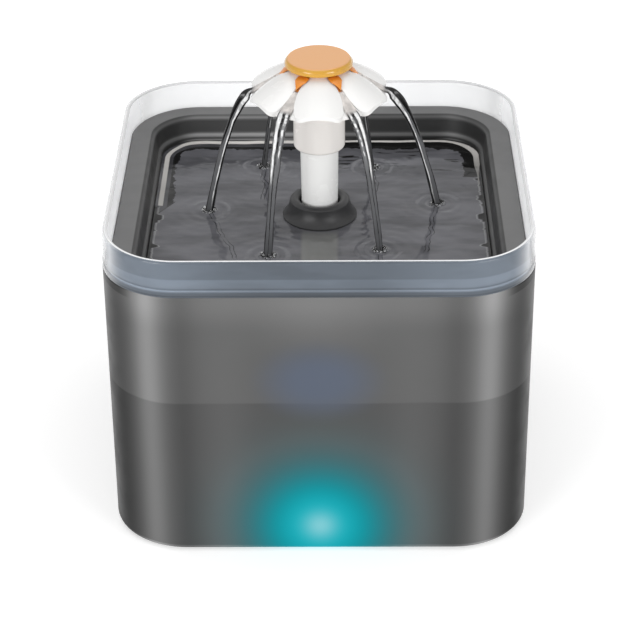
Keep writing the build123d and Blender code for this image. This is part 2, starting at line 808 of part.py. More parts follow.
def lamp_chin():
    """Low box in front of the pump that holds the lamp, open to the front."""
    chin = Pos(0, (chin_front + pump_front) / 2, lamp_centre) * Box(
        2 * (pump_half_width - chin_inset), chin_depth, chin_height)
    chin = fillet(chin.edges().filter_by(Axis.Z).sort_by(Axis.Y)[:2], chin_round)
    recess = chin_depth - lamp_recess_wall
    return chin - Pos(0, chin_front, lamp_centre) * Box(2 * lamp_half, 2 * recess, lamp_height)


def lamp_lens():
    """Teal window in front of the LEDs."""
    return Pos(0, chin_front + lamp_thick / 2, lamp_centre) * Box(2 * lamp_half, lamp_thick, lamp_height)


def lamp_board():
    """Circuit strip with its LEDs, against the recess's back wall."""
    back = pump_front - lamp_recess_wall
    board = Pos(0, back - board_thick / 2, lamp_centre) * Box(
        2 * (lamp_half - board_gap), board_thick, lamp_height - 2 * board_gap)
    for i in range(led_count):
        x = (i - (led_count - 1) / 2) * led_pitch
        board += Pos(x, back - board_thick - led_depth / 2, lamp_centre) * Box(led_size, led_depth, led_size)
    return board


def stator_core():
    """U-shaped lamination stack whose legs straddle the rotor tube from above."""
    hang = (Align.CENTER, Align.CENTER, Align.MAX)
    stack = Pos(0, core_middle, yoke_top) * Box(2 * (core_inner + core_leg), core_length, core_leg, align=hang)
    for side in (-1, 1):
        leg = Box(core_leg, core_length, yoke_rise + rotor_bore, align=hang)
        stack += Pos(side * (core_inner + core_leg / 2), core_middle, yoke_top) * leg
    return stack


def stator_coil():
    """Winding round the yoke between the legs."""
    winding = Pos(0, core_middle, yoke_top - core_leg / 2) * Box(
        2 * (core_inner - core_end_gap), core_length + 2 * coil_thick, core_leg + 2 * coil_thick)
    return winding - stator_core()


def potting():
    """Resin that fills the pocket round core and coil."""
    fill = stator_pocket() & pump_block(pump_front, pump_back - potting_step, pump_bottom, pump_top)
    fill -= rotor_tube()
    fill -= stator_core()
    fill -= stator_coil()
    return fill - gland_hole()


def rotor_shaft():
    """Ceramic pin on which the rotor turns."""
    return along_y(shaft_radius, chamber_front + shaft_seat, rotor_back - shaft_end_gap)


def rear_bush():
    """Rubber seat for the shaft at the bottom of the rotor bore."""
    front = rotor_back - bush_length
    return along_y(bush_radius, front, rotor_back) - along_y(shaft_radius, front - 1, rotor_back + 1)


def chamber_cover():
    """Round plate over the impeller chamber with the intake eye and a shaft bridge."""
    plate = along_y(chamber_radius + cover_seat - cover_seat_gap, pump_front, chamber_front)
    plate -= along_y(eye_radius, pump_front - 1, chamber_front + 1)
    middle = Pos(0, (pump_front + chamber_front) / 2, rotor_height)
    for i in range(bridge_arms):
        arm = Pos(eye_radius / 2, 0, 0) * Box(eye_radius + 1, chamber_cover_thick, bridge_width)
        plate += middle * Rot(0, 30 + 360 / bridge_arms * i, 0) * arm
    return plate + along_y(bridge_hub_radius, pump_front, chamber_front + shaft_seat)


def impeller():
    """Bladed wheel with a hub tube over the shaft."""
    wheel = along_y(impeller_radius, disc_front, disc_front + impeller_disc)
    wheel += along_y(impeller_hub_radius, disc_front - blade_width, magnet_front)
    blade_plane = Plane((0, disc_front, rotor_height), x_dir=(1, 0, 0), z_dir=(0, -1, 0))
    root = impeller_hub_radius - 0.4
    tip = impeller_radius - 0.2
    blade = Pos((root + tip) / 2, 0) * Rectangle(tip - root, blade_thick)
    for turn in polar(impeller_blades):
        wheel += extrude(blade_plane * turn * blade, blade_width)
    return wheel - along_y(shaft_radius + shaft_fit, disc_front - blade_width - 1, magnet_front + 1)


def rotor_magnet():
    """Ring magnet behind the impeller."""
    back = rotor_back - bush_length - magnet_end_gap
    ring = along_y(magnet_radius, magnet_front, back)
    return ring - along_y(shaft_radius + shaft_fit, magnet_front - 1, back + 1)


def outlet_tube():
    """Upright outlet spigot that reaches into the riser."""
    top = riser_bottom + outlet_overlap
    return spun([
        (outlet_bore, pump_top - outlet_socket),
        (outlet_radius, pump_top - outlet_socket),
        (outlet_radius, pump_top),
        (outlet_radius + outlet_flange, pump_top),
        (outlet_radius + outlet_flange, pump_top + outlet_flange),
        (outlet_radius, pump_top + outlet_flange),
        (outlet_radius, top - 0.6),
        (outlet_radius - 0.6, top),
        (outlet_bore, top)])


def suction_cup():
    """Rubber cup with a neck that presses into its socket, standing on Z = 0."""
    return spun([
        (0, cup_hollow),
        (cup_radius - 2 * cup_lip, cup_hollow / 2),
        (cup_radius - cup_lip, 0),
        (cup_radius, 0),
        (cup_radius - cup_lip, cup_height / 2),
        (cup_neck_radius, cup_height),
        (cup_neck_radius, cup_height + cup_socket),
        (0, cup_height + cup_socket)])


def cable_gland():
    """Ribbed rubber gland in the housing's back, where the cord would leave."""
    gland = along_y(gland_radius, pump_back - gland_socket, pump_back, gland_height, gland_x)
    gland += along_y(gland_neck_radius, pump_back, pump_back + gland_length, gland_height, gland_x)
    for i in range(gland_rib_count):
        y = pump_back + gland_rib_pitch * (i + 0.6)
        gland += along_y(gland_radius, y, y + gland_rib_pitch / 2, gland_height, gland_x)
    return gland - along_y(gland_bore, pump_back - gland_socket / 2, pump_back + gland_length + 1, gland_height, gland_x)


# -------------------------------------------------------------------- intake cover ---
def intake_cover():
    """Slotted hood over the sponge, held to the pump by two side clips."""
    back = pump_front - cover_gap
    shell = pump_block(cover_front, back, cover_bottom, pump_top)
    hollow_front = cover_front + cover_wall
    shell -= Pos(0, (hollow_front + back + 1) / 2, dial_centre) * Box(
        2 * (pump_half_width - cover_wall), back + 1 - hollow_front, pump_top - cover_bottom - 2 * cover_wall)
    slot = Box(cover_slot_width, 4 * cover_wall, pump_top - cover_bottom - 2 * cover_slot_margin)
    for i in range(cover_slot_count):
        x = (i - (cover_slot_count - 1) / 2) * cover_slot_pitch
        if abs(x) > dial_radius:
            shell -= Pos(x, cover_front, dial_centre) * slot
    for i in range(dial_window_count):
        shell -= dial_sector(360 / dial_window_count * i, cover_front - 1, hollow_front + 1)
    shell -= along_y(dial_pin_radius + dial_pin_fit, cover_front - 1, hollow_front + 1, dial_centre)
    for side in (-1, 1):
        shell += cover_clip(side)
    return shell


def cover_clip(side):
    """Flat tongue that lies in the housing's side recess."""
    return Pos(side * (pump_half_width - clip_thick / 2), pump_front + (clip_reach - clip_root) / 2, dial_centre) * Box(
        clip_thick, clip_reach + clip_root, clip_width)


def dial_sector(angle, front, back):
    """Window of the regulator, `dial_window_angle` wide, between two radii."""
    piece = sector(dial_radius - dial_rim, dial_pin_radius + dial_rim, 0, back - front, angle, dial_window_angle)
    return Plane((0, front, dial_centre), x_dir=(1, 0, 0), z_dir=(0, 1, 0)) * piece


def prefilter_sponge():
    """Foam slab inside the hood, in front of the intake eye."""
    back = pump_front - cover_gap - sponge_seat
    gap = cover_wall + sponge_gap
    return Pos(0, back - sponge_thick / 2, dial_centre) * Box(
        2 * (pump_half_width - gap), sponge_thick, pump_top - cover_bottom - 2 * gap)


def flow_dial():
    """Turning shutter on the hood's front with matching windows, a finger tab and a snap pin."""
    back = cover_front - dial_gap
    front = back - dial_thick
    dial = along_y(dial_radius, front, back, dial_centre)
    for i in range(dial_window_count):
        dial -= dial_sector(360 / dial_window_count * i, front - 1, back + 1)
    tab = Pos(0, front, dial_centre + dial_radius - dial_rim - tab_width / 2)
    dial += tab * Box(tab_width, 2 * tab_rise, tab_length)
    hole_back = cover_front + cover_wall
    dial += along_y(dial_pin_radius, front, hole_back + dial_gap, dial_centre)
    return dial + along_y(dial_pin_radius + snap_lip, hole_back + dial_gap, hole_back + dial_pin_end, dial_centre)


# -------------------------------------------------------------------------- pieces ---
parts["tank_shell"] = tank_shell()
parts["cord_grommet"] = cord_grommet()
for number, (x, y) in enumerate(corner_places(tank_half - foot_inset), 1):
    parts[f"foot_{number}"] = Pos(x, y, 0) * foot()
parts["splash_guard"] = splash_guard()
parts["drinking_tray"] = drinking_tray()
parts["overflow_ring"] = overflow_ring()
parts["riser_pipe"] = riser_pipe()
parts["riser_gasket"] = riser_gasket()
parts["stem_tube"] = stem_tube()
parts["petal_head"] = petal_head()
parts["flower_core"] = flower_core()
parts["centre_cap"] = centre_cap()
parts["filter_basket"] = filter_basket()
parts["carbon_bed"] = carbon_bed()
parts["cotton_pad"] = cotton_pad()
parts["pump_housing"] = pump_housing()
parts["stator_core"] = stator_core()
parts["stator_coil"] = stator_coil()
parts["potting"] = potting()
parts["rotor_shaft"] = rotor_shaft()
parts["rear_bush"] = rear_bush()
parts["chamber_cover"] = chamber_cover()
parts["impeller"] = impeller()
parts["rotor_magnet"] = rotor_magnet()
parts["outlet_tube"] = outlet_tube()
for number, (x, y) in enumerate(cup_places(), 1):
    parts[f"suction_cup_{number}"] = Pos(x, y, tank_inside) * suction_cup()
parts["lamp_board"] = lamp_board()
parts["lamp_lens"] = lamp_lens()
parts["cable_gland"] = cable_gland()
parts["intake_cover"] = intake_cover()
parts["prefilter_sponge"] = prefilter_sponge()
parts["flow_dial"] = flow_dial()

os.makedirs("parts", exist_ok=True)
for name, shape in parts.items():
    export_step(shape, f"parts/{name}.step")
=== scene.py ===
import json
import logging
from dataclasses import dataclass
from enum import Enum
from math import cos, pi, radians, sin
from typing import Any, Iterable, Sequence

import bpy
import numpy as np
from mathutils import Matrix, Vector


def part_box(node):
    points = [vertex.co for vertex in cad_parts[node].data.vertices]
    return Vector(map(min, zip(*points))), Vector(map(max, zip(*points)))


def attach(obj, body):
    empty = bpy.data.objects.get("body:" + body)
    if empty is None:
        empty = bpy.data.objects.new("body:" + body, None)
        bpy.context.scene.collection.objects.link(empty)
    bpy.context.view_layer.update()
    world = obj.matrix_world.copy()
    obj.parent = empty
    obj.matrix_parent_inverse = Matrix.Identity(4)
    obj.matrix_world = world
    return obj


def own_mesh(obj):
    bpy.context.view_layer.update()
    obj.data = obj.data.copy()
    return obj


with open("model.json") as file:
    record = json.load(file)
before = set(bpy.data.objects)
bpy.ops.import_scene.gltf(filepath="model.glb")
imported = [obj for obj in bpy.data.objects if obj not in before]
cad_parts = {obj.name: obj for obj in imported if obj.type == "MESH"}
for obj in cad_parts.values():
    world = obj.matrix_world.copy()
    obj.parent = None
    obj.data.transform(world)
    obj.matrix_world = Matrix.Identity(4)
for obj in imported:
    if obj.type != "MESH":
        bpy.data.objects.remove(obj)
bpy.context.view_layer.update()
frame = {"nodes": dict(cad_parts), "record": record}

log = logging.getLogger("fountain")

MM = 0.001
GUARD_HALF = 92.5 * MM
GUARD_CORNER = 33.0 * MM
POOL_CORNER = 17.6 * MM


class Level(Enum):
    """Heights of the fountain's water, in metres over the table."""

    POOL = 121.0 * MM
    STORE = 78.0 * MM


# ------------------------------------------------------------------ node graphs ---
class Graph:
    """A material's node tree, with short calls that add nodes and link their sockets."""

    def __init__(self, tree: bpy.types.NodeTree) -> None:
        """Starts on a node tree that holds no nodes.

        Args:
            tree: The tree that gets the nodes.
        """
        self.tree = tree
        tree.nodes.clear()

    def add(self, kind: str, inputs: dict[Any, Any] | None = None, **settings: Any) -> bpy.types.Node:
        """Adds one node.

        Args:
            kind: The node's type, without the words ShaderNode.
            inputs: For each input, by name or number, a socket to link or a plain value.
            settings: Properties of the node itself.

        Returns:
            The new node.
        """
        node = self.tree.nodes.new("ShaderNode" + kind)
        for name, value in settings.items():
            setattr(node, name, value)
        for key, value in (inputs or {}).items():
            self.feed(node.inputs[key], value)
        return node

    def feed(self, socket: bpy.types.NodeSocket, value: Any) -> None:
        """Links a socket into an input, or sets the input to a plain value."""
        if isinstance(value, bpy.types.NodeSocket):
            self.tree.links.new(value, socket)
        else:
            socket.default_value = value

    def math(self, operation: str, *values: Any, clamp: bool = False) -> bpy.types.NodeSocket:
        """Result of a Math node on up to three values."""
        node = self.add("Math", dict(enumerate(values)), operation=operation, use_clamp=clamp)
        return node.outputs[0]

    def times(self, *values: Any, clamp: bool = False) -> bpy.types.NodeSocket:
        """Product of two values."""
        return self.math("MULTIPLY", *values, clamp=clamp)

    def plus(self, *values: Any, clamp: bool = False) -> bpy.types.NodeSocket:
        """Sum of two values."""
        return self.math("ADD", *values, clamp=clamp)

    def minus(self, first: Any, second: Any) -> bpy.types.NodeSocket:
        """First value less the second."""
        return self.math("SUBTRACT", first, second)

    def mix(self, factor: Any, first: Any, second: Any, blend: str = "MIX") -> bpy.types.NodeSocket:
        """Colour between two colours."""
        node = self.add("Mix", {0: factor, 6: first, 7: second}, data_type="RGBA", blend_type=blend)
        return node.outputs[2]

    def remap(self, value: Any, low: float, high: float, new_low: float = 0.0,
              new_high: float = 1.0, smooth: bool = True) -> bpy.types.NodeSocket:
        """Moves a value from one range into another, clamped at both ends."""
        node = self.add("MapRange", {0: value, 1: low, 2: high, 3: new_low, 4: new_high},
                        interpolation_type="SMOOTHSTEP" if smooth else "LINEAR")
        return node.outputs[0]

    def place(self) -> bpy.types.NodeSocket:
        """Object coordinates, in metres from the part's origin."""
        return self.add("TexCoord").outputs["Object"]

    def axes(self, vector: Any) -> tuple[bpy.types.NodeSocket, ...]:
        """The three components of a vector."""
        return tuple(self.add("SeparateXYZ", {0: vector}).outputs)

    def length(self, first: Any, second: Any) -> bpy.types.NodeSocket:
        """Length of a flat vector: the root of the sum of two squares."""
        squares = [self.math("MULTIPLY", value, value) for value in (first, second)]
        return self.math("SQRT", self.math("ADD", *squares))

    def band(self, value: Any, low: Any, high: Any, soft: float) -> bpy.types.NodeSocket:
        """Mask that is 1 between two limits, each softened by `soft` to both sides."""
        rise = self.remap(self.math("SUBTRACT", value, low), -soft, soft)
        fall = self.remap(self.math("SUBTRACT", high, value), -soft, soft)
        return self.math("MULTIPLY", rise, fall)

    def noise(self, vector: Any, per_mm: float, detail: float = 3.0) -> bpy.types.NodeSocket:
        """Value of a noise with the given number of cells in a millimetre."""
        node = self.add("TexNoise", {"Vector": vector, "Scale": per_mm / MM, "Detail": detail})
        return node.outputs["Fac"]

    def bell(self, value: Any, centre: float, half: float) -> bpy.types.NodeSocket:
        """Bell-shaped mask: 1 at its centre, and e to the minus square of the distance in halves off it."""
        off = self.math("DIVIDE", self.math("SUBTRACT", value, centre), half)
        return self.math("EXPONENT", self.math("MULTIPLY", self.math("MULTIPLY", off, off), -1.0))

    def grey(self, level: Any) -> bpy.types.NodeSocket:
        """Neutral colour of a level."""
        return self.add("CombineXYZ", {0: level, 1: level, 2: level}).outputs[0]

    def scaled(self, colour: Any, factor: Any) -> bpy.types.NodeSocket:
        """Colour times a plain factor."""
        return self.mix(1.0, colour, self.grey(factor), "MULTIPLY")

    def between(self, factor: Any, first: Any, second: Any) -> bpy.types.NodeSocket:
        """Plain value between two plain values."""
        return self.math("MULTIPLY_ADD", self.math("SUBTRACT", second, first), factor, first)

    def inset(self, x: Any, y: Any, half: float, corner: float) -> bpy.types.NodeSocket:
        """Depth of a point inside a rounded square, counted in from its outline near the outline."""
        over = [self.math("MAXIMUM", self.math("SUBTRACT", self.math("ABSOLUTE", value), half - corner), 0.0)
                for value in (x, y)]
        return self.math("SUBTRACT", corner, self.length(*over))

    def group(self, tree: bpy.types.NodeTree, **inputs: Any) -> bpy.types.Node:
        """Places a shared node group and sets its named inputs."""
        node = self.tree.nodes.new("ShaderNodeGroup")
        node.node_tree = tree
        for name, value in inputs.items():
            self.feed(node.inputs[name], value)
        return node

    def bump(self, height: Any, depth: float, strength: float = 1.0) -> bpy.types.NodeSocket:
        """Normal from a height field whose full range is `depth` metres."""
        return self.add("Bump", {"Height": height, "Distance": depth, "Strength": strength}).outputs[0]

    def surface(self, shader: bpy.types.NodeSocket) -> None:
        """Sends a shader to the material's output."""
        self.add("OutputMaterial", {0: shader})

    def see_through(self, shader: bpy.types.NodeSocket, tint: tuple[float, ...]) -> bpy.types.NodeSocket:
        """Lets shadow and diffuse rays pass straight through a clear shader, slightly tinted."""
        path = self.add("LightPath")
        veil = self.add("BsdfTransparent", {0: tint}).outputs[0]
        passing = self.math("MAXIMUM", path.outputs["Is Shadow Ray"], path.outputs["Is Diffuse Ray"])
        return self.add("MixShader", {0: passing, 1: shader, 2: veil}).outputs[0]


def rgb(red: float, green: float, blue: float) -> tuple[float, float, float, float]:
    """Colour with full alpha from three linear components."""
    return (red, green, blue, 1.0)


def shared_group(name: str, inputs: Sequence[tuple[str, str]], outputs: Sequence[tuple[str, str]]
                 ) -> tuple[bpy.types.NodeTree, Graph, bpy.types.Node, bpy.types.Node]:
    """Makes an empty shader node group with named sockets.

    Args:
        name: The group's name.
        inputs: (name, kind) of each input, where kind is Float, Color or Vector.
        outputs: The same for each output.

    Returns:
        The group, a graph on it, and its input and output nodes.
    """
    tree = bpy.data.node_groups.new(name, "ShaderNodeTree")
    for in_out, sockets in (("INPUT", inputs), ("OUTPUT", outputs)):
        for label, kind in sockets:
            tree.interface.new_socket(name=label, in_out=in_out, socket_type="NodeSocket" + kind)
    graph = Graph(tree)
    return tree, graph, tree.nodes.new("NodeGroupInput"), tree.nodes.new("NodeGroupOutput")


def moulded_skin() -> bpy.types.NodeTree:
    """Shared look of a moulded skin: slow mottling of the colour, and a fine spark texture.

    Returns:
        A group that turns a colour into a mottled colour, a roughness and a height.
    """
    tree, graph, given, out = shared_group(
        "moulded_skin",
        [("Color", "Color"), ("Mottle", "Float"), ("Roughness", "Float"), ("Grain", "Float")],
        [("Color", "Color"), ("Roughness", "Float"), ("Height", "Float")])
    place = graph.place()
    slow = graph.noise(place, 0.03, 4.0)
    fine = graph.noise(place, 2.6, 2.0)
    shade = graph.times(graph.minus(slow, 0.5), given.outputs["Mottle"])
    graph.feed(out.inputs["Color"], graph.mix(1.0, given.outputs["Color"], graph.grey(shade), "ADD"))
    smear = graph.remap(graph.noise(place, 0.09, 5.0), 0.35, 0.7, -0.05, 0.06)
    graph.feed(out.inputs["Roughness"], graph.plus(given.outputs["Roughness"], smear, clamp=True))
    graph.feed(out.inputs["Height"], graph.times(fine, given.outputs["Grain"]))
    return tree


def handling_marks() -> bpy.types.NodeTree:
    """Shared look of light use: faint wipe marks, stretched along one way.

    Returns:
        A group whose mask is 1 where a mark lies.
    """
    tree, graph, given, out = shared_group(
        "handling_marks", [("Amount", "Float")], [("Mask", "Float")])
    stretched = graph.add("Mapping",
                          {"Vector": graph.place(), "Scale": (0.25, 1.0, 1.6), "Rotation": (0.4, 0.3, 0.9)})
    marks = graph.remap(graph.noise(stretched.outputs[0], 0.35, 6.0), 0.62, 0.74)
    graph.feed(out.inputs["Mask"], graph.times(marks, given.outputs["Amount"]))
    return tree


def landing_marks() -> bpy.types.NodeTree:
    """Shared look of a stream's landing, all painted light: a ragged dark rosette, bright specks, rings, a
    mirror image.

    The rosette is painted shade and the specks and rings are painted highlights. The stream's mirror image, a
    painted reflection, runs from the landing toward the front as a pair of thin wavering lines. The rings are
    a sine of the distance, broken up by noise.

    Returns:
        A group with masks of what is dark, of what is bright, of the mirror image and of the rings, for a
        landing at (X, Y) in metres.
    """
    tree, graph, given, out = shared_group(
        "landing_marks", [("X", "Float"), ("Y", "Float"), ("Lean", "Float"), ("Run", "Float")],
        [("Dark", "Float"), ("Light", "Float"), ("Mirror", "Float"), ("Ring", "Float")])
    place = graph.place()
    x, y, _ = graph.axes(place)
    across = graph.minus(x, given.outputs["X"])
    along = graph.minus(given.outputs["Y"], y)
    reach = graph.length(across, along)
    # Painted shade: the ragged dark rosette round the landing.
    frayed = graph.plus(reach, graph.times(graph.minus(graph.noise(place, 0.9), 0.5), 5 * MM))
    rosette = graph.remap(frayed, 3.7 * MM, 2.8 * MM)
    # Painted highlights: bright specks over the rosette.
    specks = graph.times(graph.remap(graph.noise(place, 1.5, 2.0), 0.55, 0.61),
                         graph.remap(reach, 4.2 * MM, 3.0 * MM))
    # Painted highlight: rings round the landing, broken up by noise.
    turns = graph.math("DIVIDE", reach, 0.8 * MM)
    waves = graph.math("SINE", graph.math("MULTIPLY_ADD", graph.noise(place, 0.15), 5.0, turns))
    ring = graph.times(graph.remap(waves, 0.0, 1.0), graph.band(reach, 4.5 * MM, 11.5 * MM, 1.5 * MM))
    ring = graph.times(ring, graph.remap(graph.noise(place, 0.11), 0.42, 0.58))
    # Painted reflection: the stream's mirror image as two thin wavering lines toward the front.
    strip = graph.add("CombineXYZ", {0: given.outputs["X"], 1: along}).outputs[0]
    bend = graph.minus(graph.noise(strip, 0.09, 2.0), 0.5)
    sway = graph.times(bend, graph.remap(along, 0.0, 20 * MM, 0.0, 7 * MM))
    middle = graph.plus(graph.times(given.outputs["Lean"], along), sway)
    off = graph.math("ABSOLUTE", graph.minus(across, middle))
    pair = graph.remap(graph.math("ABSOLUTE", graph.minus(off, 0.85 * MM)), 0.34 * MM, 0.1 * MM)
    inside = graph.band(along, 2.4 * MM, given.outputs["Run"], 1.5 * MM)
    patchy = graph.remap(graph.noise(place, 0.2, 2.0), 0.36, 0.52, 0.25, 1.0)
    graph.feed(out.inputs["Dark"], rosette)
    graph.feed(out.inputs["Light"], specks)
    graph.feed(out.inputs["Ring"], ring)
    graph.feed(out.inputs["Mirror"], graph.times(graph.times(pair, inside), patchy))
    return tree


SKIN = moulded_skin()
MARKS = handling_marks()
LANDING = landing_marks()


# --------------------------------------------------------------------- finishes ---
@dataclass(frozen=True)
class PaintedBand:
    """A painted band of light or of shade on a face: its middle, its half width and how much it adds.

    A face with two states, such as wet and dry, has a second amount.
    """

    middle: float
    half: float
    first: float
    second: float = 0.0


def painted_bands(graph: Graph, place: Any, first: Any, second: Any, bands: Sequence[PaintedBand]
           ) -> tuple[bpy.types.NodeSocket, bpy.types.NodeSocket]:
    """Adds bell-shaped bands of painted light and shade to a face's two plain levels.

    Args:
        graph: The graph that gets the nodes.
        place: Where on the face a point lies, in the bands' unit.
        first: The plain level in the first state.
        second: The plain level in the second state.
        bands: The bands.

    Returns:
        The two levels with all bands added.
    """
    for band in bands:
        bell = graph.bell(place, band.middle, band.half)
        first = graph.math("MULTIPLY_ADD", bell, band.first, first)
        second = graph.math("MULTIPLY_ADD", bell, band.second, second)
    return first, second


@dataclass(frozen=True)
class Finish:
    """A named surface finish that can build its own material."""

    name: str

    def material(self) -> bpy.types.Material:
        """Builds the material.

        Returns:
            The new material, named after the finish.
        """
        material = bpy.data.materials.new(self.name)
        material.use_nodes = True
        graph = Graph(material.node_tree)
        graph.surface(self.shader(graph))
        return material

    def shader(self, graph: Graph) -> bpy.types.NodeSocket:
        """Builds the shader. Each finish has its own."""
        raise NotImplementedError


@dataclass(frozen=True)
class Moulded(Finish):
    """Moulded plastic: mottled colour, fine texture, faint handling marks."""

    colour: tuple[float, float, float, float] = rgb(0.5, 0.5, 0.5)
    roughness: float = 0.35
    mottle: float = 0.012
    grain: float = 1.0
    grain_depth: float = 0.01 * MM
    marks: float = 0.06
    gloss: float = 0.5

    def shader(self, graph: Graph) -> bpy.types.NodeSocket:
        """Principled plastic on the shared skin and marks."""
        skin = graph.group(SKIN, Color=self.colour, Mottle=self.mottle, Roughness=self.roughness,
                           Grain=self.grain)
        marks = graph.group(MARKS, Amount=self.marks)
        rough = graph.plus(skin.outputs["Roughness"], marks.outputs["Mask"], clamp=True)
        return graph.add("BsdfPrincipled", {
            "Base Color": self.tone(graph, skin.outputs["Color"]),
            "Roughness": rough,
            "Specular IOR Level": self.gloss,
            "Normal": self.relief(graph, skin.outputs["Height"])}).outputs[0]

    def relief(self, graph: Graph, grain: bpy.types.NodeSocket) -> bpy.types.NodeSocket:
        """Normal of the grained skin, and hook for a finish with more relief."""
        return graph.bump(grain, self.grain_depth)

    def tone(self, graph: Graph, colour: bpy.types.NodeSocket) -> bpy.types.NodeSocket:
        """Hook for a finish that changes colour from place to place."""
        return colour


@dataclass(frozen=True)
class CapOrange(Moulded):
    """The cap's orange: a paler face as painted light, a deeper, yellower softly rounded edge as painted
    shade.
    """

    shaded_edge_colour: tuple[float, float, float, float] = rgb(0.56, 0.29, 0.027)
    face_radius: float = 13.8 * MM
    slope_from: float = 196.5 * MM
    slope_middle: float = 197.35 * MM
    steepness: float = 1.53
    round_radius: float = 2.2 * MM

    def tone(self, graph: Graph, colour: bpy.types.NodeSocket) -> bpy.types.NodeSocket:
        """Mixes the edge's painted shade colour in outside the face's radius."""
        x, y, _ = graph.axes(graph.place())
        edge = graph.remap(graph.length(x, y), self.face_radius - 0.2 * MM, self.face_radius + 0.3 * MM)
        return graph.mix(edge, colour, self.shaded_edge_colour)

    def relief(self, graph: Graph, grain: bpy.types.NodeSocket) -> bpy.types.NodeSocket:
        """Rounds the sloping edge: it falls back from its middle by the distance squared over two radii."""
        height = graph.math("MAXIMUM", graph.axes(graph.place())[2], self.slope_from)
        over = graph.times(graph.minus(height, self.slope_middle), self.steepness)
        fall = graph.math("DIVIDE", graph.times(over, over), -2 * self.round_radius)
        return graph.bump(graph.plus(fall, graph.times(grain, self.grain_depth)), 1.0)


@dataclass(frozen=True)
class PetalWhite(Moulded):
    """White of the flower head: soft on the thin petals; the thick sleeve in their shade painted lighter and
    warmer.
    """

    # Painted light: the sleeve's white is lighter and warmer than the petals' to make up for their shade.
    sleeve: tuple[float, float, float, float] = rgb(0.89, 0.855, 0.82)

    def tone(self, graph: Graph, colour: bpy.types.NodeSocket) -> bpy.types.NodeSocket:
        """Mixes the two whites over the sleeve's top."""
        z = graph.axes(graph.place())[2]
        return graph.mix(graph.remap(z, 182 * MM, 178 * MM), colour, self.sleeve)


@dataclass(frozen=True)
class TrayGrey(Moulded):
    """The tray's satin grey: painted shade down the bowl's wall and darker on its drowned foot, with painted
    highlights on the back's rounded mouth and step.

    The painted bands' middles are heights in millimetres. Their first amount is what a dull stretch of wall
    shows, and their second what the back's shiny stretch shows.
    """

    bands: tuple[PaintedBand, ...] = (
        PaintedBand(122.5, 0.35, 0.0, 0.22), PaintedBand(124.7, 0.9, 0.07, 0.24), PaintedBand(132.7, 0.6, 0.05, 0.12))
    # Painted shade: the bowl wall's dull and shiny levels, and the darker drowned foot's.
    wall: tuple[float, float] = (0.028, 0.06)
    drowned: tuple[float, float] = (0.012, 0.05)
    lip: tuple[float, float] = (0.155, 0.165)
    # Painted highlight: a glint on the back wall, its middle and half width along x in millimetres, and its
    # strength.
    glint: tuple[float, float, float] = (64.0, 5.0, 0.55)

    def tone(self, graph: Graph, colour: bpy.types.NodeSocket) -> bpy.types.NodeSocket:
        """Lays the painted bands over the drowned foot and the wall, both painted shade, and the lip, with
        the skin's mottling added.
        """
        x, y, z = graph.axes(graph.place())
        height = graph.math("DIVIDE", z, MM)
        dry, on_lip = graph.remap(height, 122.8, 123.6), graph.remap(height, 133.55, 133.68)
        levels = [graph.between(dry, low, high) for low, high in zip(self.drowned, self.wall)]
        levels = [graph.between(on_lip, level, lip)
                  for level, lip in zip(painted_bands(graph, height, *levels, self.bands), self.lip)]
        # Painted highlight: where the back's shiny stretch lies along x, with the glint.
        broad = graph.times(graph.remap(x, -70 * MM, -59 * MM), graph.remap(x, 26 * MM, -26 * MM))
        middle, half, size = self.glint
        share = graph.math("MULTIPLY_ADD", graph.bell(x, middle * MM, half * MM), size, broad)
        back = graph.times(share, graph.remap(y, 56 * MM, 70 * MM), clamp=True)
        level = graph.grey(graph.between(back, *levels))
        mottle = graph.mix(1.0, colour, self.colour, "SUBTRACT")
        return graph.mix(1.0, level, mottle, "ADD")


